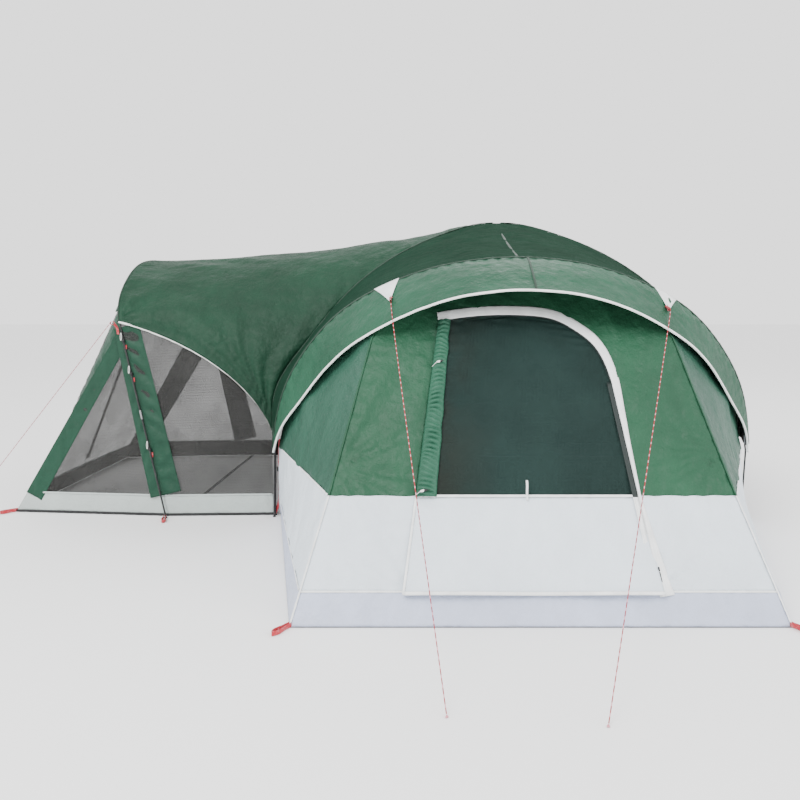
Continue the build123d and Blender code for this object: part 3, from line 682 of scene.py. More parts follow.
class Nodes:
    """A short way to write a material's node tree."""
    MIX_A, MIX_B = 6, 7

    def __init__(self, name):
        self.material = bpy.data.materials.new(name)
        self.material.use_nodes = True
        self.tree = self.material.node_tree
        self.shader = self.tree.nodes["Principled BSDF"]

    def add(self, kind, inputs=None, **settings):
        node = self.tree.nodes.new("ShaderNode" + kind)
        for key, value in settings.items():
            setattr(node, key, value)
        for key, value in (inputs or {}).items():
            self.set(node, key, value)
        return node

    def set(self, node, key, value):
        socket = node.inputs[key]
        if isinstance(value, bpy.types.NodeSocket):
            self.tree.links.new(value, socket)
        else:
            socket.default_value = value

    def surface(self, **values):
        for key, value in values.items():
            self.set(self.shader, key.replace("_", " "), value)

    def math(self, operation, a, b=0.0, c=0.0):
        node = self.add("Math", {0: a, 1: b, 2: c}, operation=operation)
        return node.outputs[0]

    def mix(self, factor, a, b, blend="MIX"):
        node = self.add("Mix", data_type="RGBA", blend_type=blend)
        self.set(node, "Factor", factor)
        self.set(node, self.MIX_A, a)
        self.set(node, self.MIX_B, b)
        return node.outputs[2]

    def shaded(self, colour, factor):
        """The colour made lighter or darker by a factor."""
        grey = self.add("CombineXYZ", {0: factor, 1: factor, 2: factor}).outputs[0]
        return self.mix(1.0, colour, grey, "MULTIPLY")

    def ramp(self, value, low, high, a=0.0, b=1.0):
        node = self.add("MapRange", {"Value": value, "From Min": low, "From Max": high, "To Min": a,
                                     "To Max": b})
        return node.outputs[0]

    def object_place(self):
        return self.add("TexCoord").outputs["Object"]

    def uv(self):
        return self.add("UVMap", uv_map="cloth").outputs[0]

    def noise(self, place, scale, detail=2.0, roughness=0.5, stretch=None):
        if stretch:
            place = self.add("Mapping", {"Vector": place, "Scale": stretch}).outputs[0]
        return self.add("TexNoise", {"Vector": place, "Scale": scale, "Detail": detail,
                                     "Roughness": roughness}).outputs[0]

    def threads(self, place, pitch):
        """Crossing threads pitch metres apart: 1 on a thread, 0 between."""
        parts = self.add("SeparateXYZ", {0: place})
        waves = []
        for axis in (0, 1):
            turns = self.math("MULTIPLY", parts.outputs[axis], 2 * math.pi / pitch)
            waves.append(self.math("SINE", turns))
        top = self.math("MAXIMUM", waves[0], waves[1])
        return self.ramp(top, -0.2, 1.0)

    def bump(self, height, strength, distance, normal=None):
        inputs = {"Height": height, "Strength": strength, "Distance": distance}
        if normal is not None:
            inputs["Normal"] = normal
        return self.add("Bump", inputs).outputs[0]


def cloth_material(name, colour, roughness=0.5, sheen=0.0, crinkle=0.35, weave=0.0016, shade=0.16,
                   gloss=0.35, dust=0.0):
    """Coated polyester: a fine weave, packing creases, and slow changes of shade."""
    n = Nodes(name)
    place = n.object_place()
    slow = n.ramp(n.noise(place, 1.6, 3.0), 0.3, 0.7, 1 - shade, 1 + shade * 0.6)
    streak = n.ramp(n.noise(place, 9.0, 3.0, 0.6, (1, 1, 0.25)), 0.3, 0.7, 1 - shade * 0.5, 1 + shade * 0.5)
    base = n.shaded(colour, slow)
    base = n.shaded(base, streak)
    if dust:
        z = n.add("SeparateXYZ", {0: place}).outputs[2]
        low = n.ramp(z, 0.0, 0.12, dust, 0.0)
        grain = n.ramp(n.noise(place, 24.0, 5.0, 0.7), 0.42, 0.68)
        base = n.mix(n.math("MULTIPLY", low, grain), base, linear(150, 140, 122))
    thread = n.threads(n.uv(), weave)
    base = n.mix(n.math("MULTIPLY", n.math("SUBTRACT", 1.0, thread), 0.10), base, (0.0, 0.0, 0.0, 1.0))
    facets = n.add("TexVoronoi", {"Vector": place, "Scale": 11.0, "Detail": 2.0},
                   feature="SMOOTH_F1").outputs[0]
    fine = n.noise(place, 26.0, 4.0, 0.6)
    rumple = n.noise(place, 7.0, 5.0, 0.65)
    normal = n.bump(facets, crinkle * 0.5, 0.020)
    normal = n.bump(rumple, crinkle * 0.7, 0.030, normal)
    normal = n.bump(fine, crinkle * 0.5, 0.006, normal)
    normal = n.bump(thread, 0.12, 0.0006, normal)
    n.surface(Base_Color=base, Normal=normal)
    n.set(n.shader, "Roughness", n.ramp(fine, 0.3, 0.7, roughness - 0.06, roughness + 0.08))
    n.set(n.shader, "Specular IOR Level", gloss)
    n.set(n.shader, "Sheen Weight", sheen)
    n.set(n.shader, "Sheen Roughness", 0.5)
    return n.material


def mesh_material(name, colour, pitch=0.0024, open_alpha=0.25, thread_alpha=0.9, left_tint=None):
    """Woven insect mesh: see-through between its threads, with a denser thread at even steps."""
    n = Nodes(name)
    place = n.object_place()
    thread = n.threads(n.uv(), pitch)
    drift = n.ramp(n.noise(place, 5.0, 3.0), 0.3, 0.7, -0.06, 0.06)
    ribs = n.ramp(n.threads(n.uv(), 0.018), 0.95, 1.0, 0.0, 0.10)
    alpha = n.math("ADD", n.ramp(thread, 0.25, 0.6, open_alpha, thread_alpha), drift)
    alpha = n.math("ADD", alpha, ribs)
    shade = n.ramp(n.noise(place, 3.0, 3.0), 0.3, 0.7, 0.85, 1.15)
    base = n.shaded(colour, shade)
    if left_tint:
        # painted shading: the mesh turns duller and browner towards its left edge, beside the rolled cover
        x = n.add("SeparateXYZ", {0: place}).outputs[0]
        painted_left_shade = n.math("MULTIPLY", n.ramp(x, -0.15, -0.52, 0.0, 0.8),
                      n.ramp(n.noise(place, 4.0, 4.0), 0.3, 0.6))
        base = n.mix(painted_left_shade, base, left_tint)
    normal = n.bump(n.noise(place, 8.0, 4.0), 0.3, 0.02)
    normal = n.bump(thread, 0.3, 0.0008, normal)
    n.surface(Base_Color=base, Normal=normal, Alpha=alpha, Roughness=0.7)
    n.set(n.shader, "Specular IOR Level", 0.15)
    return n.material


def webbing_material(name, colour, pitch=0.004):
    """Woven strap: ribs across it, with a little fuzz."""
    n = Nodes(name)
    uv = n.uv()
    parts = n.add("SeparateXYZ", {0: uv})
    ribs = n.math("SINE", n.math("MULTIPLY", parts.outputs[0], 2 * math.pi / pitch))
    herring = n.math("SINE", n.math("MULTIPLY", parts.outputs[1], 2 * math.pi / (pitch * 0.7)))
    height = n.math("ADD", ribs, n.math("MULTIPLY", herring, 0.6))
    shade = n.ramp(height, -1.6, 1.6, 0.82, 1.1)
    base = n.shaded(colour, shade)
    fuzz = n.noise(n.object_place(), 90.0, 3.0)
    base = n.mix(n.ramp(fuzz, 0.5, 0.75, 0.0, 0.18), base, (0.9, 0.9, 0.9, 1))
    normal = n.bump(height, 0.5, 0.0006)
    n.surface(Base_Color=base, Normal=normal, Roughness=0.6)
    n.set(n.shader, "Sheen Weight", 0.2)
    return n.material


def tape_material(name, colour, stitch_colour, pitch=0.006, above=None):
    """Binding or zip tape with stitches near each edge; over WINDOW_SILL it takes the colour above."""
    n = Nodes(name)
    parts = n.add("SeparateXYZ", {0: n.uv()})
    dash = n.math("SINE", n.math("MULTIPLY", parts.outputs[0], 2 * math.pi / pitch))
    line = n.math("SINE", n.math("MULTIPLY", parts.outputs[1], 2 * math.pi / 0.012))
    stitches = n.math("MULTIPLY", n.ramp(dash, 0.0, 0.3), n.ramp(line, 0.86, 0.96))
    place = n.object_place()
    shade = n.ramp(n.noise(place, 14.0, 4.0), 0.3, 0.7, 0.86, 1.06)
    base = n.shaded(colour, shade)
    base = n.mix(n.math("MULTIPLY", stitches, 0.7), base, stitch_colour)
    if above:
        z = n.add("SeparateXYZ", {0: place}).outputs[2]
        base = n.mix(n.math("GREATER_THAN", z, WINDOW_SILL), base, above)
    normal = n.bump(n.noise(place, 40.0, 4.0), 0.35, 0.004)
    normal = n.bump(stitches, 0.6, 0.0008, normal)
    n.surface(Base_Color=base, Normal=normal, Roughness=0.62)
    return n.material


def cord_material(name, colour, fleck, pitch=0.022):
    """Braided guy cord: red with pale flecks along it."""
    n = Nodes(name)
    place = n.object_place()
    z = n.add("SeparateXYZ", {0: place}).outputs[2]
    wave = n.math("SINE", n.math("MULTIPLY", z, 2 * math.pi / pitch))
    flecks = n.ramp(wave, 0.35, 0.5)
    braid = n.noise(place, 600.0, 1.0)
    base = n.mix(flecks, colour, fleck)
    normal = n.bump(braid, 0.5, 0.0008)
    n.surface(Base_Color=base, Normal=normal, Roughness=0.6)
    return n.material


def hard_material(name, colour, roughness, metallic=0.0, wear=0.2, tip=None):
    """Glossy rod, plastic or steel with scratches and dull patches; a toggle's right half is its tip."""
    n = Nodes(name)
    place = n.object_place()
    patches = n.noise(place, 18.0, 5.0, 0.7)
    scratch = n.noise(place, 300.0, 2.0, 0.5, (1, 1, 0.08))
    base = n.mix(n.ramp(patches, 0.55, 0.8, 0.0, wear), colour, (0.35, 0.35, 0.35, 1))
    if tip:
        parts = n.add("SeparateXYZ", {0: place})
        along_edge = n.math("MULTIPLY_ADD", parts.outputs[2], -TOGGLE_LEAN, parts.outputs[0])
        base = n.mix(n.math("GREATER_THAN", along_edge, TOGGLE_MIDDLE), base, tip)
    normal = n.bump(scratch, 0.15, 0.0004)
    n.surface(Base_Color=base, Normal=normal)
    n.set(n.shader, "Roughness", n.ramp(patches, 0.3, 0.7, roughness - 0.05, roughness + 0.12))
    n.set(n.shader, "Metallic", metallic)
    return n.material


MATERIALS = {
    "fly": cloth_material("fly_cloth", linear(21, 56, 39), 0.55, 0.0, 0.8, shade=0.22, gloss=0.2),
    "fly_inside": cloth_material("fly_coating", linear(22, 50, 36), 0.6, 0.0, 0.5),
    "gore": cloth_material("gore_cloth", linear(31, 55, 43), 0.8, 0.0, 0.7, gloss=0.01),
    # painted light: the visor band is the fly cloth in a lighter copy, for the light on its forward and
    # upward face
    "visor": cloth_material("visor_cloth_painted_light", linear(36, 80, 59), 0.5, 0.0, 0.7, shade=0.2, gloss=0.2),
    "wall_green": cloth_material("wall_green_cloth", linear(33, 77, 54), 0.5, 0.0, 0.7, gloss=0.25),
    # painted light: a lighter copy of the wall green, for light coming through the gusset cloth
    "gusset_green_painted_light": cloth_material("gusset_green_painted_light_cloth", linear(44, 84, 68), 0.5, 0.0, 0.7, gloss=0.25),
    "cover": cloth_material("cover_cloth", linear(46, 92, 72), 0.5, 0.0, 0.5, gloss=0.25),
    "wall_white": cloth_material("wall_white_cloth", linear(218, 228, 236), 0.55, 0.0, 0.5, shade=0.07),
    "wall_inside": cloth_material("wall_coating", linear(30, 62, 46), 0.6, 0.0, 0.5),
    "tub": cloth_material("tub_cloth", linear(186, 194, 216), 0.45, 0.0, 0.6, shade=0.08, dust=0.10),
    "floor": cloth_material("floor_cloth", linear(120, 124, 134), 0.5, 0.0, 0.45, shade=0.08, dust=0.1),
    "lining": cloth_material("lining_cloth", linear(40, 46, 44), 0.7, 0.05, 0.4),
    "lining_white": cloth_material("lining_white_cloth", linear(150, 156, 156), 0.6, 0.0, 0.4, shade=0.06),
    "sleeve": cloth_material("sleeve_cloth", linear(30, 66, 50), 0.5, 0.0, 0.7, gloss=0.2),
    # painted shade: the back of the sleeve cloth is near black, standing in for the shade it is seen in from
    # inside the porch
    "sleeve_shaded_back": cloth_material("sleeve_back_painted_shade", linear(14, 16, 16), 0.8, 0.0, 0.4, gloss=0.1),
    "skirt": cloth_material("skirt_cloth", linear(178, 187, 184), 0.6, 0.0, 0.45, shade=0.06, dust=0.12),
    # painted shade: the back of the skirt is dark brown-grey, standing in for the shadow inside the porch
    "skirt_shaded_back": cloth_material("skirt_back_painted_shade", linear(38, 34, 31), 0.8, 0.0, 0.4, gloss=0.1),
    "hem": tape_material("hem_tape", linear(24, 25, 26), linear(70, 70, 70)),
    "white_tape": tape_material("white_tape", linear(236, 238, 238), linear(200, 204, 206)),
    "green_tape": tape_material("green_tape", linear(15, 48, 32), linear(9, 28, 19)),
    # painted shading: the last colour is the duller, browner tone painted towards the window's left edge
    "window": mesh_material("window_mesh", linear(25, 43, 40), 0.0022, 0.90, 0.99, linear(30, 28, 22)),
    "porch_mesh": mesh_material("porch_mesh", linear(58, 58, 57), 0.0026, 0.36, 0.84),
    "piping": tape_material("piping_tape", linear(240, 242, 238), linear(214, 218, 214)),
    "red": webbing_material("red_webbing", linear(178, 14, 36)),
    "cord": cord_material("guy_cord", linear(150, 16, 34), linear(214, 150, 160)),
    "pole": hard_material("pole_fibreglass", linear(20, 21, 22), 0.28),
    "steel": hard_material("ferrule_steel", linear(150, 150, 152), 0.3, 1.0),
    "black": hard_material("black_plastic", linear(18, 19, 20), 0.45),
    "slider": hard_material("zip_slider_metal", linear(40, 41, 43), 0.35, 0.8),
    "toggle": hard_material("toggle_plastic", linear(232, 232, 228), 0.35, 0.0, 0.1),
    "door_tape": tape_material("door_edge_cloth", linear(236, 238, 238), linear(150, 154, 156),
                               above=linear(14, 27, 25)),
    "toggle_two_tone": hard_material("toggle_plastic_black_end", linear(232, 232, 228), 0.35, 0.0, 0.1,
                                     tip=linear(18, 19, 20)),
}


# ---------------------------------------------------------------- camera and light
def make_camera():
    data = bpy.data.cameras.new("camera")
    data.sensor_width = 36
    data.lens = 31.37
    data.shift_x = -0.0538
    data.shift_y = -0.1213
    camera = link(bpy.data.objects.new("camera", data))
    camera.location = (-0.4215, -5.493, 1.398)
    camera.rotation_euler = (math.radians(90), 0, 0)
    bpy.context.scene.camera = camera


def area_light(name, place, target, size, power, colour=(1, 1, 1)):
    data = bpy.data.lights.new(name, "AREA")
    data.shape = "DISK"
    data.size = size
    data.energy = power
    data.color = colour
    light = link(bpy.data.objects.new(name, data))
    light.location = place
    direction = Vector(target) - Vector(place)
    light.rotation_euler = direction.to_track_quat("-Z", "Y").to_euler()


def make_studio():
    floor = mesh_object("floor", [(-40, -40, -0.001), (40, -40, -0.001), (40, 40, -0.001), (-40, 40, -0.001)],
                        [(0, 1, 2, 3)], smooth=False)
    n = Nodes("studio_floor")
    n.surface(Base_Color=linear(244, 244, 244), Roughness=0.9)
    n.set(n.shader, "Specular IOR Level", 0.1)
    floor.data.materials.append(n.material)
    world = bpy.data.worlds.new("studio")
    bpy.context.scene.world = world
    world.use_nodes = True
    world.node_tree.nodes["Background"].inputs[0].default_value = (1, 1, 1, 1)
    world.node_tree.nodes["Background"].inputs[1].default_value = 1.9
    area_light("key", (-3.5, -7.5, 6.5), (0, -0.5, 0.6), 4.0, 700)
    area_light("fill", (6.0, -5.0, 4.0), (0, 0, 0.8), 5.0, 250)
    area_light("rim", (1.0, 6.0, 7.0), (0, 0, 1.0), 4.0, 120)


# ---------------------------------------------------------------- guy lines
GUY_PATCHES = (0.315, 0.714)
PATCH_HALF = 0.018
PATCH_REACH = 0.55
GUY_LINES = {
    "guy_line_front_left": [(-0.702, -1.743, 1.400), (-0.691, -1.886, 1.328), (-0.410, -3.137, 0.009)],
    "guy_line_front_right": [(0.812, -1.712, 1.350), (0.754, -1.872, 1.297), (0.126, -3.190, 0.009)],
    "guy_line_porch": [(-2.577, -0.985, 1.264), (-2.900, -0.980, 0.850), (-3.560, -0.952, 0.009)],
}


def make_knot(name, at, along):
    """A small overhand knot with a short tail, where the line is tied to its loop."""
    along = unit(np.array(along))
    side = unit(np.cross(along, [0, 0, 1]))
    up = np.cross(side, along)
    turn = np.linspace(0, 2 * math.pi, 60)
    x = np.sin(turn) + 2 * np.sin(2 * turn)
    y = np.cos(turn) - 2 * np.cos(2 * turn)
    z = -np.sin(3 * turn)
    centre = np.array(at) + along * 0.008
    path = centre + 0.0016 * (x[:, None] * side + y[:, None] * along + z[:, None] * up)
    path[:, 2] = np.maximum(path[:, 2], 0.0022)
    return tube_mesh(name, path, 0.0016, 8, False)


def make_guy_lines():
    for name, route in GUY_LINES.items():
        curve = bpy.data.curves.new(name, "CURVE")
        curve.dimensions = "3D"
        curve.bevel_depth = 0.002
        curve.bevel_resolution = 3
        curve.use_fill_caps = True
        line = curve.splines.new("NURBS")
        line.points.add(len(route) - 1)
        for point, co in zip(line.points, route):
            point.co = (*co, 1)
        line.order_u = 3
        line.use_endpoint_u = True
        line.resolution_u = 24
        piece = link(bpy.data.objects.new(name + "_cord", curve))
        curve.materials.append(MATERIALS["cord"])
        end, before = np.array(route[-1]), np.array(route[-2])
        knot = make_knot(name + "_knot", end, end - before)
        dress(knot, "cord", "guy_cord")
        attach(piece, "tent")
        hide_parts(name)
        if name == "guy_line_porch":
            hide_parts("guy_line_knots")


# ---------------------------------------------------------------- flysheet
def make_fly():
    gore = cloth("front_gore", front_gore, 150, 44,
                 make_folds(0.005, 0.22, 0.003, 0.09, long_folds=0.007, long_axis=1, seed=31,
                            rays=((0.5, 0.0, 0.5, 0.006, 9),)), out=(0, -0.4, 1))
    finish_cloth(gore, "gore", "fly_green", nodes=("fly_front_gore",), inside="fly_inside")
    band = cloth("visor", visor, 220, 22,
                 make_folds(0.003, 0.16, 0.004, 0.075, free=("v1",), long_folds=0.006, long_axis=0, seed=41,
                            rays=[(at, 0.5, 0.25, 0.003, 12) for at in GUY_PATCHES]),
                 out=(0, -0.6, 0.8))
    # painted light: the band takes the lighter visor copy of the fly cloth
    finish_cloth(band, "visor", "visor_green", nodes=("fly_visor",),
                 inside="fly_inside")
    sides = {"right": (NEAR_RIGHT, FAR_RIGHT, (1, 0, 0.5)), "back": (FAR_RIGHT, FAR_LEFT, (0, 1, 0.5))}
    for name, (first, second, out) in sides.items():
        panel = cloth(f"{name}_gore", gore_between(first, second), 90, 70,
                      make_folds(0.005, 0.22, 0.003, 0.09, free=("u0",), long_folds=0.006, long_axis=1,
                                 seed=51 + len(name)), out=out)
        finish_cloth(panel, "fly", "fly_green", nodes=(f"fly_{name}_gore",),
                     inside="fly_inside")
    roof = cloth("porch_canopy", canopy, 150, 110,
                 make_folds(0.0045, 0.26, 0.004, 0.085, free=("u0", "u1"), long_folds=0.009, long_axis=1,
                            seed=61, rays=((0.0, 1.0, 0.6, 0.012, 11), (1.0, 1.0, 0.6, 0.012, 11),
                                  (0.0, 0.0, 0.6, 0.014, 17),
                                  (1.0, 0.0, 0.6, 0.014, 17))),
                 out=(0, 0, 1))
    finish_cloth(roof, "fly", "fly_green", nodes=("fly_porch_canopy",),
                 inside="fly_inside")


def surface_normal(surface, u, v, out):
    d = 1e-3
    a = surface(np.clip(u + d, 0, 1), v) - surface(np.clip(u - d, 0, 1), v)
    b = surface(u, np.clip(v + d, 0, 1)) - surface(u, np.clip(v - d, 0, 1))
    normal = safe_unit(np.cross(a, b))
    flip = np.sign((normal * np.array(out)).sum(-1, keepdims=True))
    return normal * np.where(flip == 0, 1, flip)


def make_fly_seams():
    """Felled seams over the poles, white piping on the free edges and a tape round the hems."""
    t = np.linspace(0.0, 0.985, 110)
    pieces = []
    for k, corner in enumerate((NEAR_LEFT, NEAR_RIGHT, FAR_LEFT, FAR_RIGHT)):
        path = rib_point(corner, t, FLY_SHARE) + lift(FLY_LIFT + 0.001)
        outward = path.copy()
        outward[:, 2] = np.clip((path[:, 2] - 0.6) * 1.6, 0, None)
        pieces.append(ribbon(f"rib_seam_{k}", path, unit(outward), 0.020, 0.0012, 0.004, 0.001, 7, 0.0005,
                             0.03, 70 + k))
    dress(join("fly_rib_seams", pieces), "green_tape", "fly_green")

    u = np.linspace(0.002, 0.998, 200)
    normal = surface_normal(visor, u, 0 * u + 0.02, (0, -0.5, 0.8))
    seam = ribbon("arch_seam", fly_brow(u), normal, 0.018, 0.0012, 0.003, 0.002, 7, 0.0008, 0.045, 81)
    middle = np.linspace(0.02, 0.98, 60)
    centre = seam_up(front_gore, 0.5, middle, (0, -0.4, 1), 0.016, 0.002, 0.0006, 0.05, 83)
    across = np.linspace(0.02, 0.98, 40)
    joint = seam_up(visor, 0.513, across, (0, -0.6, 0.8), 0.012, 0.0025, 0.0004, 0.04, 84)
    dress(join("fly_cross_seams", [seam, centre, joint]), "green_tape", "fly_green")

    wobble = 0.0012 * value_noise(u * 60, 0 * u, 85)[:, None] * np.array([0, 1, 1])
    edge = visor_point(u) + wobble
    dress(tube_mesh("visor_edge_piping", edge, 0.0068, 10), "piping", "white_piping", nodes=("visor_piping",))
    pieces = []
    for side in (0.0, 1.0):
        s = np.linspace(0.004, 0.998, 130)
        edge = canopy(0 * s + side, s)
        edge[:, 2] += 0.0015 * value_noise(s * 40, 0 * s, 86)
        pieces.append(tube_mesh(f"canopy_edge_{int(side)}", edge, 0.0062, 10))
    dress(join("canopy_edge_piping", pieces), "piping", "white_piping", nodes=("canopy_piping",))

    end = porch_point(np.linspace(0, 1, 120), 2 * FLY_LIFT)
    hems = [tube_mesh("canopy_end_edge", end, 0.0045, 8)]
    for first, second in ((NEAR_RIGHT, FAR_RIGHT), (FAR_RIGHT, FAR_LEFT)):
        v = np.linspace(0.004, 0.996, 90)
        path = gore_between(first, second)(0 * v, v) + np.array([0, 0, 0.009])
        out = unit(np.append(first + second, 0.0))
        hems.append(ribbon("hem", path, out, 0.022, 0.0012, 0.001, 0.003, 5, 0.0012, 0.06, 88))
    dress(join("fly_hems", hems), "green_tape", "fly_green")


def seam_up(surface, u, v, out, width, lift_by, ruffle, pitch, seed):
    """A seam tape up a surface at a fixed u."""
    normal = surface_normal(surface, 0 * v + u, v, out)
    return ribbon("seam", surface(0 * v + u, v), normal, width, 0.0012, 0.002, lift_by, 5, ruffle, pitch,
                  seed)


def make_guy_patches():
    """Stiff white corner patches with stitched edges, a red loop and a bar tack at each tip."""
    patches, loops = [], []
    for at in GUY_PATCHES:
        patches.append(guy_patch(at))
        tip = visor(np.array([at]), np.array([PATCH_REACH]))[0] + np.array([0, -0.004, 0.010])
        for offset in (-0.004, 0.004):
            bend = [(0.030, 0.020), (0.0, 0.006), (-0.024, 0.002), (-0.030, -0.002), (-0.022, -0.006),
                    (0.0, -0.001)]
            route = spline([tip + np.array([offset, y, z]) for y, z in bend])
            loops.append(ribbon("loop", route(np.linspace(0, 1, 24)), (1, 0, 0), 0.012, 0.0012, 0, 0, 3))
        loops.append(rounded_box("bar_tack", tip + np.array([0, 0.016, 0.012]), (0.020, 0.014, 0.004)))
    for side in (-1, 1):
        loops.extend(shoulder_loop(side))
    dress(join("guy_patches_sewn", patches), "white_tape", "white_piping", nodes=("guy_patches",))
    dress(join("guy_loops_red", loops), "red", "red_webbing", nodes=("guy_loops",))


def guy_patch(at):
    """One triangle of stiff cloth on the visor, wide at the arch seam and narrow at its tip."""
    rows, columns = 9, 7
    u, v = [], []
    for row in range(rows):
        share = row / (rows - 1)
        width = PATCH_HALF * (1 - share) + 0.0012
        for k in range(columns):
            u.append(at - width + 2 * width * k / (columns - 1))
            v.append(PATCH_REACH * share)
    u, v = np.array(u), np.array(v)
    normal = surface_normal(visor, u, np.maximum(v, 0.01), (0, -0.6, 0.8))
    faces = []
    for r in range(rows - 1):
        for k in range(columns - 1):
            first = r * columns + k
            faces.append((first, first + 1, first + columns + 1, first + columns))
    uv = np.stack([u * 3.9, v * 0.35], axis=-1)
    patch = mesh_object("patch", visor(u, v) + normal * 0.0085, faces, uv)
    solidify(patch, 0.0016)
    return patch


def shoulder_loop(side):
    """The porch shoulder's loop and the tail that sews it to the pole sleeve."""
    centre = np.array([-2.56, side * 0.985, 1.268])
    turn = np.linspace(-0.4, 2 * math.pi - 0.8, 30)
    round_turn = np.stack([np.cos(turn), 0 * turn, np.sin(turn)], axis=-1)
    loop = ribbon("shoulder_loop", centre + round_turn * np.array([0.014, 0, 0.010]), round_turn, 0.014,
                  0.0014, 0, 0, 3)
    tail = spline([centre + [0.012, 0, -0.006], centre + [0.02, -side * 0.02, -0.03],
                   centre + [0.022, -side * 0.034, -0.075]])
    tail = ribbon("shoulder_tail", tail(np.linspace(0, 1, 16)), (0, side, 0.1), 0.016, 0.0014, 0, 0.001, 3)
    return loop, tail


# ---------------------------------------------------------------- inner tent
def make_front_wall():
    folds = make_folds(0.005, 0.2, 0.004, 0.08, long_folds=0.006, long_axis=1, seed=101,
                       rays=((0.0, 0.0, 0.4, 0.007, 11), (1.0, 0.0, 0.4, 0.007, 11),
                             (0.86, 1.0, 0.5, 0.008, 15),
                             (0.12, 1.0, 0.5, 0.008, 15)))
    wall = cloth("front_wall", front_wall, 260, 26, folds, out=FRONT_NORMAL)
    upper, lower = split_height(wall, WHITE_TOP, "front_wall_green", "front_wall_white")
    finish_cloth(upper, "wall_green", "wall_green", nodes=("front_wall_upper",),
                 inside="wall_inside")
    finish_cloth(lower, "wall_white", "wall_white", nodes=("front_wall_lower",))
    tub = cloth("tub_front", front_tub, 150, 12,
                make_folds(0.0035, 0.12, 0.003, 0.09, free=("v0",), seed=111), out=FRONT_NORMAL)
    finish_cloth(tub, "tub", "tub_grey", nodes=("tub_wall_front",))
    for side, name in ((-1, "left"), (1, "right")):
        folds = make_folds(0.006, 0.2, 0.003, 0.09, free=("u1",), long_folds=0.006, long_axis=1,
                           seed=121 + side, rays=((1.0, 0.0, 0.5, 0.010, 9),))
        panel = cloth(f"gusset_{name}", gusset(side), 60, 90, folds, out=(side, -0.4, 0.3))
        rest, low = split_height(panel, TUB_TOP, "gusset_rest", f"gusset_tub_{name}")
        green, white = split_height(rest, WHITE_TOP, f"gusset_green_painted_light_{name}", f"gusset_white_{name}")
        # painted light: the green gusset takes the lighter copy of the wall cloth
        finish_cloth(green, "gusset_green_painted_light", "wall_green", nodes=(f"gusset_upper_{name}",),
                     inside="wall_inside")
        finish_cloth(white, "wall_white", "wall_white", nodes=(f"gusset_lower_{name}",))
        finish_cloth(low, "tub", "tub_grey")


def make_wall_seams():
    """Seams of the bay: the two leaning corners and the level joins round it."""
    for low, high, name, tape in ((0.01, WHITE_TOP, "white", "white_tape"),
                                  (WHITE_TOP, 1.5, "green", "wall_green")):
        z = np.linspace(low, high, 60)
        tapes = []
        for side in (-1, 1):
            path = points3(side * profile_x(SEAM_PROFILE, z), front_y(z), z)
            normal = unit(np.array([side * 0.75, -0.85, 0.45]))
            tapes.append(ribbon("corner", path, normal, 0.012, 0.0012, 0.003, 0.0, 5, 0.0005, 0.04,
                                131 + side))
        dress(join(f"bay_corner_seams_{name}", tapes), tape, f"wall_{name}")
    half = float(profile_x(SEAM_PROFILE, TUB_TOP))
    x = np.linspace(-half, half, 120)
    levels = [ribbon("tub_join", on_front(x, 0 * x + TUB_TOP), FRONT_NORMAL, 0.009, 0.0012, 0.0015, 0.0015, 5,
                     0.0005, 0.05, 141)]
    for height in (TUB_TOP, WHITE_TOP):
        for side in (-1, 1):
            surface = gusset(side)
            u = np.linspace(0.01, 0.99, 50)
            v = 0 * u + (height - GUSSET_FOOT) / (GUSSET_HEAD - GUSSET_FOOT)
            normal = surface_normal(surface, u, v, (side, -0.4, 0.3))
            levels.append(ribbon("gusset_join", surface(u, v), normal, 0.009, 0.0012, 0.0015, 0.004, 5,
                                 0.0005, 0.05, 145 + side))
    dress(join("bay_level_seams", levels), "white_tape", "white_piping")


def make_lining():
    walls = {
        "right": (NEAR_RIGHT, FAR_RIGHT, np.array([-0.006, 0, 0]), (1, 0, 0.2)),
        "back": (FAR_RIGHT, FAR_LEFT, np.array([0, -0.006, 0]), (0, 1, 0.2)),
        "left": (FAR_LEFT, NEAR_LEFT, np.array([0.006, 0, 0]), (-1, 0, 0.2)),
    }
    for k, (name, (first, second, inward, out)) in enumerate(walls.items()):
        folds = make_folds(0.005, 0.2, 0.003, 0.09, free=("u0", "u1"), long_folds=0.004, long_axis=0,
                           seed=151 + k)
        panel = cloth(f"lining_{name}_whole", lining(first, second, inward), 48, 84, folds, out=out)
        if name == "left":
            cut_doorway(panel)
        dark, low = split_height(panel, WHITE_TOP, f"lining_{name}_roof", f"lining_{name}_low")
        white, tub = split_height(low, TUB_TOP, f"lining_{name}_wall", f"lining_{name}_tub")
        finish_cloth(dark, "lining", "lining_dark", nodes=(f"lining_{name}",))
        finish_cloth(white, "lining_white", "lining_dark")
        finish_cloth(tub, "tub", "tub_grey")
    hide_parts("tub_walls_side")
    roof = cloth("lining_front", lining_front, 70, 16, make_folds(0.004, 0.2, 0.002, seed=161),
                 out=(0, -0.3, 1))
    finish_cloth(roof, "lining", "lining_dark", nodes=("lining_front_roof",))
    floor = cloth("groundsheet_cloth", groundsheet, 60, 70, None, out=(0, 0, 1))
    finish_cloth(floor, "floor", "tub_grey", nodes=("groundsheet",),
                 thickness=0.0026)


def cut_doorway(obj):
    """Opens the inner doorway between the dome and the porch: an arched hole in the left wall."""
    half, spring = 0.30, 0.95
    bm = bmesh.new()
    bm.from_mesh(obj.data)
    gone = []
    for face in bm.faces:
        c = face.calc_center_median()
        above = min(1.0, max(0.0, c.z - spring) / half)
        if TUB_TOP + 0.01 < c.z < spring + half and abs(c.y) < half * math.sqrt(1 - above ** 2):
            gone.append(face)
    bmesh.ops.delete(bm, geom=gone, context="FACES")
    bm.to_mesh(obj.data)
    bm.free()


def gather(obj):
    """Gives a piece of the door its own copy of its mesh."""
    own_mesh(obj)


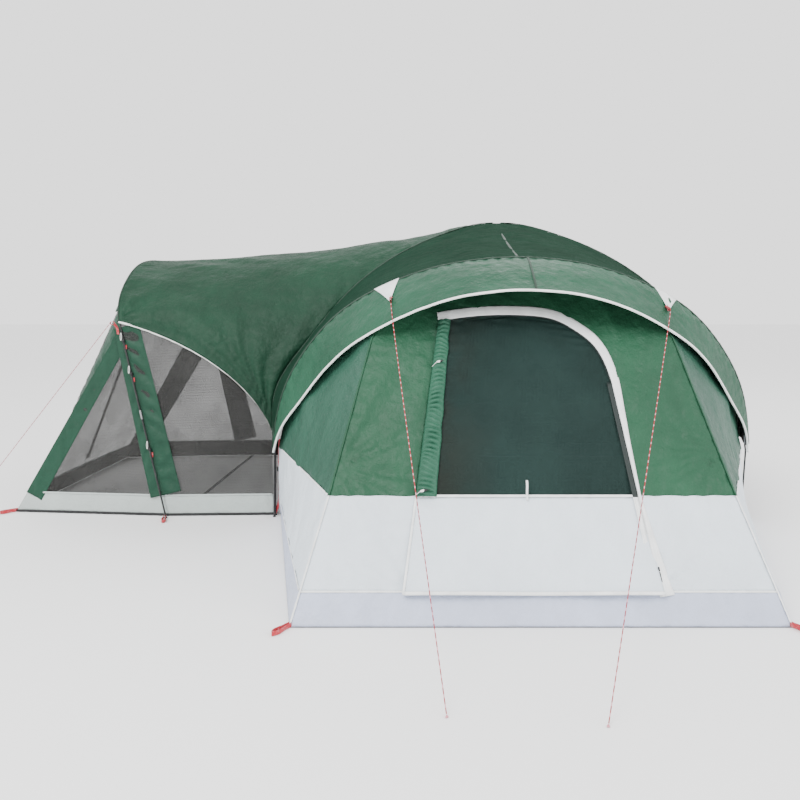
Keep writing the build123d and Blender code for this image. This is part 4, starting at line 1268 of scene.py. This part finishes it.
def make_door():
    folds = make_folds(0.0045, 0.17, 0.0035, 0.06, long_folds=0.004, long_axis=1, seed=201,
                       rays=((0.0, 1.0, 0.4, 0.004, 9),))
    leaf = door_leaf(WINDOW_SILL, DOOR_CROWN[3][1], 1.5)
    window = cloth("door_window_mesh", leaf, 90, 90, folds, out=FRONT_NORMAL)
    finish_cloth(window, "window", "window_mesh", nodes=("door_window",),
                 thickness=0)
    gather(window)
    folds = make_folds(0.003, 0.15, 0.003, 0.07, free=("v0",), long_folds=0.003, long_axis=1, seed=211)
    panel = cloth("door_white_panel", lower_leaf, 90, 30, folds, out=FRONT_NORMAL)
    finish_cloth(panel, "wall_white", "wall_white", nodes=("door_lower_panel",))
    gather(panel)
    make_panel_tapes()
    make_door_trim()
    make_window_cover()
    make_toggles()
    make_window_pull()
    make_zip()


def lower_leaf(u, v):
    """The white foot of the door, which hangs a little out over the tub wall."""
    foot = TUB_TOP - 0.014
    z = foot + (WINDOW_SILL - foot) * v
    left, right = door_sides(np.maximum(z, DOOR_LEFT_FOOT[1]))
    flare = 0.012 + 0.016 * (1 - v) ** 3 * (0.7 + 0.5 * np.sin(9 * u)) * (v < 1)
    return on_front((left - 0.004) * (1 - u) + (right + 0.012) * u, z, flare * (1 - v) + 0.001)


def make_panel_tapes():
    """White tapes round the lower panel: its hem, its left side and the sill under the window."""
    u = np.linspace(0, 1, 80)
    hem = ribbon("hem", lower_leaf(u, 0 * u) + np.array([0, -0.002, 0.007]), FRONT_NORMAL, 0.016, 0.0014,
                 0.001, 0.002, 5, 0.001, 0.06, 215)
    v = np.linspace(0, 1, 40)
    side = ribbon("side", lower_leaf(0 * v, v), FRONT_NORMAL, 0.012, 0.0014, 0.002, 0.003, 5, 0.0008, 0.05,
                  216)
    left, right = door_sides(np.array(WINDOW_SILL))
    share = np.linspace(0, 1, 51)
    sill = on_front(left * (1 - share) + right * share, WINDOW_SILL, 0.006)
    level = ribbon("sill", sill, FRONT_NORMAL, 0.012, 0.0014, 0.001, 0.001, 5, 0.0008, 0.06, 217)
    tape = join("door_panel_tapes", [hem, side, level])
    dress(tape, "white_tape", "white_piping")
    gather(tape)


def make_door_trim():
    """The white storm flap over the zip, along the door's crown and right side."""
    outline = DOOR_CURVE(np.linspace(0.0, 1, 400))
    start = int(np.argmax(outline[:, 1] > 1.296))
    route = polyline(np.concatenate([[[-0.447, 1.296]], outline[start:], [[0.537, 0.105]]]))
    line = route(np.linspace(0, 1, 260))
    tangent = unit(np.gradient(line, axis=0))
    outward = np.stack([-tangent[:, 1], tangent[:, 0]], axis=-1)
    height = line[:, 1]
    width = np.interp(height, [0.105, 0.30, 0.487, 0.70, 0.95, 1.20],
                      [0.060, 0.036, 0.015, 0.024, 0.041, 0.050])
    curl = np.interp(height, [0.20, 0.487, 0.90], [0.0, 0.006, 0.0])
    length = run_length(line)
    rows, uv = [], []
    for c in np.linspace(0, 1, 9):
        at = line + outward * (width * c)[:, None]
        off = 0.010 + (curl + 0.004) * math.sin(math.pi * c) - 0.006 * c
        off = off + 0.0012 * value_noise(height / 0.06, 0 * height + c * 2, 221)
        rows.append(on_front(at[:, 0], at[:, 1], off))
        uv.append(np.stack([length, c * width], axis=-1))
    flap = grid_mesh("door_trim_flap", np.stack(rows, axis=1), np.stack(uv, axis=1))
    solidify(flap, 0.0016)
    dress(flap, "white_tape", "white_piping", nodes=("door_trim",))
    edge = line - outward * 0.003
    teeth = ribbon("door_zip_line", on_front(edge[:, 0], edge[:, 1], 0.005), FRONT_NORMAL, 0.007, 0.002,
                   0.002, 0.001, 5, 0.0003, 0.004, 223)
    dress(teeth, "door_tape", "zip_tape")


def door_left(z):
    """The door's straight left edge at a height."""
    return np.interp(z, [DOOR_LEFT_FOOT[1], DOOR_CROWN[0][1]], [DOOR_LEFT_FOOT[0], DOOR_CROWN[0][0]])


def cover_width(share):
    return 0.098 - 0.036 * share


def cover_heights():
    return np.linspace(WINDOW_SILL - 0.004, 1.300, 420)


def make_window_cover():
    """The green window cover, gathered and rolled along the door's left edge."""
    columns = 13
    z = cover_heights()
    share = (z - z[0]) / (z[-1] - z[0])
    width = cover_width(share)
    length = share * (z[-1] - z[0]) * FRONT_STRETCH
    at, uv = [], []
    for k in range(columns):
        c = k / (columns - 1)
        middle = math.sin(math.pi * c)
        turn = math.pi * (length / 0.025 + 0.6 * c) + 2.5 * value_noise(length / 0.08, 0 * z + c, 241)
        gathers = (1.6 * np.abs(np.sin(turn)) - 1) * (0.75 + 0.4 * value_noise(length / 0.05, 0 * z + 2 * c,
                                                                               243))
        bulge = 0.012 + 0.018 * middle + 0.0095 * gathers * middle ** 0.5 * (0.06 < c < 0.86)
        shift = 0.003 * value_noise(length / 0.07, 0 * z + 5, 245) * (c > 0)
        at.append(on_front(door_left(z) - 0.006 + width * c + shift, z, bulge))
        uv.append(np.stack([length, width * c], axis=-1))
    cover = grid_mesh("window_cover_bundle", np.stack(at, axis=1), np.stack(uv, axis=1))
    solidify(cover, 0.004)
    dress(cover, "cover", "wall_green", nodes=("window_cover_roll",))
    gather(cover)


def toggle_radius(share, angle):
    """A bar that thins towards its rounded ends."""
    return np.full(len(angle), 0.0060 * (1 - 0.5 * abs(2 * share - 1) ** 3))


def make_toggles():
    """Bar toggles with their ties, which hold the rolled cover."""
    z = cover_heights()
    toggles = []
    for height in (0.500, 1.075):
        k = int(np.searchsorted(z, height))
        left = door_left(z[k])
        width = cover_width((z[k] - z[0]) / (z[-1] - z[0]))
        centre = on_front(left + 0.030, height, 0.047)
        bar = np.array([centre + np.array([dx, 0, 0.25 * dx]) for dx in np.linspace(-0.017, 0.017, 12)])
        toggles.append(tube_mesh("bar", bar, toggle_radius, 12))
        tie = spline([on_front(left - 0.010, height - 0.012, 0.010), centre + FRONT_NORMAL * 0.004,
                      on_front(left + width * 0.6, height + 0.004, 0.042)])
        toggles.append(tube_mesh("tie", tie(np.linspace(0, 1, 24)), 0.0015, 8, True))
    toggles = join("cover_toggles_sewn", toggles)
    dress(toggles, "toggle_two_tone", "toggle", nodes=("cover_toggles",))
    gather(toggles)


def make_window_pull():
    """White ribbon that hangs at the window's foot."""
    low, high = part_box("window_pull")
    y = (low.y + high.y) / 2
    hang = spline([[-0.028, y + 0.012, high.z], [-0.028, y + 0.002, high.z - 0.012],
                   [-0.0285, y, high.z - 0.05],
                   [-0.027, y - 0.001, low.z]])
    pull = ribbon("window_pull_ribbon", hang(np.linspace(0, 1, 24)), (0, -1, 0.1), 0.010, 0.0012, 0.001, 0, 5)
    dress(pull, "white_tape", "white_piping", nodes=("window_pull",))
    gather(pull)


def zip_slider(name, centre, along, out):
    """A moulded zip slider: body, bridge and a long pull."""
    axes = [np.cross(along, out), along, out]
    body = rounded_box("body", centre, (0.011, 0.019, 0.006), axes, 0.3)
    bridge = rounded_box("bridge", centre + out * 0.0045, (0.004, 0.012, 0.004), axes, 0.3)
    pull = rounded_box("pull", centre - along * 0.034 + out * 0.003, (0.008, 0.042, 0.0022), axes, 0.3)
    return join(name, [body, bridge, pull])


def make_zip():
    low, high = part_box("door_edge_tape")
    z = np.linspace(low.z, high.z, 60)
    x = np.interp(z, [0.132, 0.982], [0.5175, 0.427])
    tape = ribbon("door_free_edge", on_front(x, z, 0.0085), FRONT_NORMAL, 0.022, 0.002, 0.001, 0.001, 7,
                  0.0005, 0.05, 231)
    dress(tape, "door_tape", "zip_tape", "door_edge", ("door_edge_tape",))
    up_the_zip = unit(np.array([-0.0945, 0.5034, 0.868]))
    slider = zip_slider("door_slider_metal", on_front(0.5395, 0.205, 0.0115), up_the_zip, FRONT_NORMAL)
    dress(slider, "slider", "zip_slider", "door_slider", ("door_zip_slider",))


# ---------------------------------------------------------------- porch
def make_porch_walls():
    for side, name in ((-1, "near"), (1, "far")):
        for part, surface in (("outer", porch_outer(side)), ("inner", porch_inner(side))):
            folds = make_folds(0.003, 0.22, 0.002, 0.08, free=("v0",), long_folds=0.003, long_axis=1,
                               seed=301 + 7 * side + len(part))
            panel = cloth(f"porch_{name}_{part}", surface, 60, 66, folds, out=(0, side, 0.1))
            node = f"porch_mesh_{name}_{part}"
            mesh, skirt = split_height(panel, SKIRT_TOP, f"porch_{name}_{part}_mesh",
                                       f"porch_{name}_{part}_skirt")
            finish_cloth(mesh, "porch_mesh", "porch_mesh", nodes=(node,),
                         thickness=0)
            # painted shade: the skirt's back takes the dark shaded copy
            finish_cloth(skirt, "skirt", "skirt_grey",
                                       inside="skirt_shaded_back")
        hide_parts(f"porch_skirt_{name}")
        make_sleeves(side, name)


def sleeve_strip(name, side, bottom, direction, wide_low, wide_high, ruffle, seed, off):
    """A ruffled strip from a ground point up to the pole's shoulder, wide towards the direction."""
    top = porch_corners(side)[-1]
    t = np.linspace(SKIRT_TOP / POLE_SHOULDER, 0.995, 120)
    line = lerp(bottom, top, t)
    width = wide_low + (wide_high - wide_low) * t
    along = unit(top - bottom)
    inward = unit(np.array(direction) - along * np.dot(direction, along))
    length = t * np.linalg.norm(top - bottom)
    rows, uv = [], []
    for c in np.linspace(0, 1, 15):
        drift = 3 * value_noise(length / 0.2, 0 * t + c, seed)
        wave = ruffle * np.sin(2 * math.pi * (length / 0.13 + 0.8 * c) + drift)
        wave = wave + 0.004 * value_noise(length / 0.05, 0 * t + 4 * c, seed + 2)
        height = off + wave * math.sin(math.pi * c)
        rows.append(line + (width * c)[:, None] * inward + height[:, None] * np.array([0, side, 0.03]))
        uv.append(np.stack([length, width * c], axis=-1))
    at, uv = np.stack(rows, axis=1), np.stack(uv, axis=1)
    cell = np.linalg.norm(np.cross(np.gradient(at, axis=0), np.gradient(at, axis=1)), axis=-1)
    CLOTH_SIZES[name] = (float(length[-1] - length[0]), wide_low, float(cell.sum()))
    facing = np.cross(at[-1, 0] - at[0, 0], at[0, -1] - at[0, 0])[1] * side
    if facing < 0:
        at, uv = at[::-1], uv[::-1]
    return grid_mesh(name, at, uv)


def make_sleeves(side, name):
    """Ruffled green sleeves: one at the end corner, and one in two halves along the arch pole."""
    end, foot, _, _ = porch_corners(side)
    strips = (
        (f"end_sleeve_{name}_side", end, 1, 0.115, 0.092, 0.003, 311, 0.013, (f"end_sleeve_{name}",),
         "outer"),
        (f"pole_sleeve_{name}_left", foot, -1, 0.085, 0.050, 0.004, 317, 0.014, (f"pole_sleeve_{name}",),
         "outer"),
        (f"pole_sleeve_{name}_right", foot, 1, 0.125, 0.120, 0.006, 323, 0.016, (), "inner"),
    )
    for label, bottom, towards, wide_low, wide_high, ruffle, seed, off, nodes, part in strips:
        strip = sleeve_strip(label, side, bottom, (towards, 0, 0), wide_low, wide_high, ruffle, seed, off)
        # painted shade: the strips' backs take the near-black shaded copy
        finish_cloth(strip, "sleeve", "sleeve_green", nodes=nodes,
                     inside="sleeve_shaded_back")


END_OUT = np.array([-0.936854, 0, 0.34972])
END_DOWN = np.array([-0.34972, 0, -0.936854])


def make_porch_end():
    """The end wall: green corners, a mesh top and two leaves that part at the zip, over the skirt."""
    skirts = []
    for side, name in ((-1, "near"), (1, "far")):
        skirts += make_end_half(side, name)
    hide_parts("porch_skirt_end")
    u = np.linspace(0.08, 0.92, 60)
    path = at_height(end_wall, u, END_BAND) + np.array([-0.008, 0, 0])
    band = ribbon("end_valance", path, END_OUT, 0.05, 0.0012, 0.002, 0.003, 7, 0.001, 0.08, 351)
    dress(band, "sleeve", "sleeve_green")
    foot = end_wall(np.array(0.5), np.array(0.1)) + END_OUT * 0.0155
    centre = foot - END_DOWN * 0.03 + np.array([0, -0.013, 0])
    slider = zip_slider("end_slider_metal", centre, -END_DOWN, END_OUT)
    dress(slider, "slider", "zip_slider", "end_slider", ("end_zip_slider",))


def make_end_half(side, name):
    """One half of the end wall. Returns its two pieces of skirt."""
    corner_edge, zip_edge, head = 0.075, 0.5, 0.995
    out = (-1, 0, 0.3)

    def surface(u, v):
        return end_wall(1 - u if side > 0 else u, v)

    def hang_skirt(skirt):
        return finish_cloth(skirt, "skirt", "skirt_grey",
                            inside="skirt_shaded_back")

    folds = make_folds(0.005, 0.12, 0.006, 0.10, free=("u1",), seed=331)
    corner = cloth(f"end_wall_sleeve_{name}", surface, 12, 90, folds, out=out,
                   u_range=(0.0, corner_edge + 0.004),
                   v_range=(0.0, head))
    upper, skirt = split_height(corner, SKIRT_TOP, f"end_corner_{name}", f"end_skirt_corner_{name}")
    finish_cloth(upper, "sleeve", "sleeve_green", inside="sleeve_shaded_back")
    skirts = [hang_skirt(skirt)]

    folds = make_folds(0.006, 0.22, 0.004, 0.08, free=("u1",), long_folds=0.006, long_axis=1, seed=341)
    leaf = cloth(f"end_leaf_{name}_whole", surface, 44, 90, folds, out=out, u_range=(corner_edge, zip_edge),
                 v_range=(0.0, head))
    upper, skirt = split_height(leaf, SKIRT_TOP, f"end_leaf_{name}_upper", f"end_skirt_{name}")
    top, swing = split_height(upper, END_BAND, f"end_top_{name}", f"end_leaf_{name}_mesh")
    finish_cloth(top, "porch_mesh", "porch_mesh", thickness=0)
    finish_cloth(swing, "porch_mesh", "porch_mesh", body=None, nodes=(f"end_leaf_{name}",),
                 thickness=0)
    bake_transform(swing)
    skirts.append(hang_skirt(skirt))

    s = np.linspace(0.1, 0.95, 60)
    path = end_wall(0 * s + zip_edge, s) + np.array([-0.0085, side * 0.013, 0.003])
    tape = ribbon(f"end_tape_{name}_sewn", path, END_OUT, 0.022, 0.002, 0.001, 0.001, 7, 0.0005, 0.05, 361)
    dress(tape, "hem", "zip_tape", f"end_leaf_edge_{name}", (f"end_tape_{name}",))
    return skirts


def make_porch_hems():
    """Black binding at the foot of every skirt, and a grey tape where the mesh meets the skirt."""
    feet, joins = [], []
    u = np.linspace(0.01, 0.99, 60)
    for side in (-1, 1):
        normal = (0, side, 0.05)
        end, foot, dome, _ = porch_corners(side)
        for a, b in ((end, foot), (foot, dome)):
            feet.append((lerp(a, b, np.linspace(0, 1, 70)) + np.array([0, side * 0.002, 0.006]), normal))
        for surface in (porch_outer(side), porch_inner(side)):
            joins.append((at_height(surface, u, SKIRT_TOP), normal))
    joins.append((at_height(end_wall, u, SKIRT_TOP), (-0.95, 0, 0.3)))
    u = np.linspace(0, 1, 60)
    feet.append((end_wall(u, 0 * u) + np.array([-0.002, 0, 0.006]), (-1, 0, 0.1)))
    hems = [ribbon("hem", path, normal, 0.016, 0.0016, 0.001, 0.003, 5, 0.0012, 0.07, 371) for path,
            normal in feet]
    dress(join("porch_hem_binding", hems), "hem", "black_plastic")
    tapes = [ribbon("join", path, normal, 0.012, 0.0014, 0.001, 0.004, 5, 0.0008, 0.06, 373) for path,
             normal in joins]
    dress(join("porch_skirt_joins", tapes), "skirt", "skirt_grey")


def at_height(surface, u, z):
    """The level line over a surface at a height."""
    return surface(u, np.array([height_share(surface, k, z) for k in u]))


def height_share(surface, u, z):
    v = np.linspace(0, 1, 60)
    heights = surface(np.full(60, u), v)[:, 2]
    return float(np.interp(z, heights, v))


# ---------------------------------------------------------------- poles and fittings
def main_pole_path(corner, drop):
    t = np.linspace(0, 0.985, 80)
    rise = rib_point(corner, t, 0.9985)
    rise[:, 2] -= drop * (1 - np.abs(rise[:, 0]) / HALF_WIDTH)
    leg = points3(np.full(12, corner[0]), np.full(12, corner[1]), np.linspace(0.008, 0.48, 12))
    half = np.concatenate([leg, rise])
    other = half[::-1] * np.array([-1, -1, 1])
    path = np.concatenate([half, other])
    return polyline(path)(np.linspace(0, 1, 220))


def arch_pole_path():
    u = np.linspace(0.0, 1, 120)
    arch = arch_point(u, 0.998)
    left = points3(np.linspace(-1.525, -1.479, 10), arch_y(np.linspace(0.009, 0.47, 10)),
                   np.linspace(0.009, 0.47, 10))
    right = left[::-1] * np.array([-1, 1, 1])
    return polyline(np.concatenate([left, arch, right]))(np.linspace(0, 1, 200))


def porch_pole_path():
    u = np.linspace(0.04, 0.96, 90)
    arch = porch_point(u, 0.0)
    z = np.linspace(0.009, 1.19, 24)
    near = points3(PORCH_POLE_X + PORCH_POLE_LEAN * z, -(0.955 - 0.016 * z), z)
    far = near[::-1] * np.array([1, -1, 1])
    joined = np.concatenate([near, arch, far])
    smooth = spline(joined[np.linspace(0, len(joined) - 1, 40).astype(int)])
    return smooth(np.linspace(0, 1, 200))


FERRULE_REACH = 0.030


def rolled_ends(share, angle):
    """A ferrule's radius, smaller at its rolled ends."""
    return np.full(len(angle), 0.0072 if 0.08 < share < 0.92 else 0.0064)


def make_poles():
    sections = {
        "main_pole_upper": (main_pole_path(NEAR_LEFT, 0.0), 9),
        "main_pole_lower": (main_pole_path(NEAR_RIGHT, 0.0165), 9),
        "front_arch_pole": (arch_pole_path(), 9),
        "porch_arch_pole": (porch_pole_path(), 7),
    }
    ferrules = []
    for name, (path, count) in sections.items():
        dress(tube_mesh(name + "_rod", path, POLE_RADIUS, 12), "pole", "fibreglass_pole", nodes=(name,))
        at = polyline(path)
        length = np.linalg.norm(np.diff(path, axis=0), axis=1).sum()
        for k in range(1, count):
            t = np.linspace(k / count - FERRULE_REACH / length, k / count + FERRULE_REACH / length, 14)
            ferrules.append(tube_mesh("ferrule", at(t), rolled_ends, 14))
    dress(join("pole_ferrules_rolled", ferrules), "steel", "ferrule_steel", nodes=("pole_ferrules",))


def make_corner_webbing():
    """Red straps from each corner's foot ring up to the flysheet's hem, with a buckle."""
    straps, rings = [], []
    for sx in (-1, 1):
        for sy in (-1, 1):
            x, y = sx * HALF_WIDTH, sy * HALF_DEPTH
            base = np.array([x - sx * 0.028, y - sy * 0.006, 0.0])
            line = np.array([base + [sx * 0.03, sy * 0.0, 0.010], base + [sx * 0.012, 0, 0.06],
                             base + [0, 0, 0.20], base + [sx * 0.004, 0, 0.36], base + [0, 0, 0.50]])
            straps.append(ribbon("strap", spline(line)(np.linspace(0, 1, 60)),
                                 np.array([sx * 0.6, sy * 0.8, 0]), 0.022,
                                 0.0016, 0, 0.002, 5, 0.0006, 0.05, 401))
            centre = base + np.array([sx * 0.004, sy * 0.004, 0.30])
            rings.append(rounded_box("buckle", centre, (0.032, 0.006, 0.026),
                                     [[sy * 0.8, -sx * 0.6, 0], [sx * 0.6, sy * 0.8, 0], [0, 0, 1]], 0.3))
            turn = np.linspace(0, 2 * math.pi, 28)
            ring = np.array([x, y, 0.016]) + np.stack([0.016 * np.cos(turn), 0.016 * np.sin(turn), 0 * turn],
                                                      axis=-1)
            rings.append(tube_mesh("ring", ring, 0.0018, 8, False))
    dress(join("corner_straps", straps), "red", "red_webbing", nodes=("corner_webbing",))
    dress(join("corner_buckles", rings), "black", "black_plastic")


def make_peg_loops():
    """Red webbing loops, doubled and sewn to each ground corner."""
    corners = [(-BAY_HALF, BAY_FRONT, -125), (BAY_HALF, BAY_FRONT, -55), (PORCH_END, -PORCH_END_HALF, -140),
               (PORCH_END, PORCH_END_HALF, 140), (-HALF_WIDTH, HALF_DEPTH + 0.012, 110),
               (HALF_WIDTH, HALF_DEPTH + 0.012, 60), (PORCH_POLE_X, -0.975, -75), (PORCH_POLE_X, 0.975, 75)]
    loops = []
    for k, (x, y, heading) in enumerate(corners):
        a = math.radians(heading)
        along = np.array([math.cos(a), math.sin(a), 0])
        across = np.array([-math.sin(a), math.cos(a), 0])
        start = np.array([x, y, 0.012]) - along * 0.01
        route = [start + across * 0.006, start + along * 0.045 + across * 0.008 - [0, 0, 0.004],
                 start + along * 0.085 + across * 0.012 - [0, 0, 0.008],
                 start + along * 0.105 - [0, 0, 0.006],
                 start + along * 0.085 - across * 0.012 - [0, 0, 0.004],
                 start + along * 0.045 - across * 0.008,
                 start - across * 0.006]
        path = spline(route)(np.linspace(0, 1, 60))
        tangent = np.gradient(path, axis=0)
        normal = np.cross(tangent, [0, 0, 1.0])
        normal /= np.linalg.norm(normal, axis=1, keepdims=True)
        path[:, 2] = np.maximum(path[:, 2], 0.0115)
        loops.append(ribbon("loop", path, normal, 0.020, 0.0016, 0, 0, 5, 0.0004, 0.03, 411 + k))
    dress(join("peg_loops_sewn", loops), "red", "red_webbing", nodes=("peg_loops",))


def make_sleeve_clips():
    """Hooks that hold the sleeve to the porch pole: a white bail, a black jaw and a red tab."""
    bails, jaws, tabs = [], [], []
    for side in (-1, 1):
        for z in (0.445, 0.935, 1.150):
            x = PORCH_POLE_X + PORCH_POLE_LEAN * z
            pole = np.array([x, side * (0.955 - 0.016 * z), z])
            turn = np.linspace(-0.5 * math.pi, 1.25 * math.pi, 30)
            jaw = pole + np.stack([0.0085 * np.cos(turn), side * 0.0085 * np.sin(turn), 0 * turn], axis=-1)
            jaws.append(ribbon("jaw", jaw, np.stack([np.cos(turn), side * np.sin(turn), 0 * turn], axis=-1),
                               0.016, 0.003, 0, 0.001, 3))
            arm = [pole - [0, side * 0.009, 0], pole - [-0.004, side * 0.020, 0.012],
                   pole - [-0.008, side * 0.026, 0.03]]
            jaws.append(ribbon("arm", spline(arm)(np.linspace(0, 1, 12)), np.array([0.9, 0, 0.3]), 0.010,
                               0.003, 0, 0, 3))
            ring = np.linspace(0, 2 * math.pi, 28)
            bail = pole + np.stack([-0.012 + 0.004 * np.cos(ring), side * 0.008 + 0 * ring,
                                    0.028 + 0.024 * np.sin(ring)], axis=-1)
            bails.append(tube_mesh("bail", bail, 0.0016, 8, False))
            tab = [pole + [0.008, -side * 0.018, -0.026], pole + [0.012, -side * 0.008, -0.034],
                   pole + [0.014, -side * 0.004, -0.054]]
            tabs.append(ribbon("tab", spline(tab)(np.linspace(0, 1, 12)), np.array([0, side, 0.1]), 0.018,
                               0.0016, 0, 0.001, 3))
    dress(join("sleeve_clip_jaws", jaws), "black", "black_plastic", nodes=("sleeve_clips",))
    dress(join("sleeve_clip_bails", bails), "toggle", "black_plastic")
    dress(join("sleeve_clip_tabs", tabs), "red", "red_webbing")


def make_ground_strap():
    """Woven strap across the porch between the arch's feet."""
    low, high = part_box("ground_strap")
    y = np.linspace(low.y, high.y, 90)
    x = (low.x + high.x) / 2 + 0.004 * value_noise(y * 3, 0 * y, 431)
    path = points3(x, y, 0.0012 + 0.0006 * value_noise(y * 9, 0 * y, 433))
    strap = ribbon("ground_strap_woven", path, np.array([0, 0, 1.0]), 0.025, 0.0014, 0.0005, 0.0006, 7, 0,
                   0.03, 435)
    dress(strap, "hem", "black_plastic", nodes=("ground_strap",))


def dress_cad():
    """The foot caps keep their CAD shape, and get their plastic."""
    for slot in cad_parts["pole_foot_caps"].material_slots:
        slot.material = MATERIALS["black"]


# ---------------------------------------------------------------- build
make_camera()
make_guy_lines()
make_studio()
make_fly()
make_fly_seams()
make_guy_patches()
make_front_wall()
make_wall_seams()
make_lining()
make_door()
make_porch_walls()
make_porch_end()
make_porch_hems()
make_poles()
make_corner_webbing()
make_peg_loops()
make_sleeve_clips()
make_ground_strap()
dress_cad()

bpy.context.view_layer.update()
for row in FLAT_SIZES:
    print("SHEET", *row)
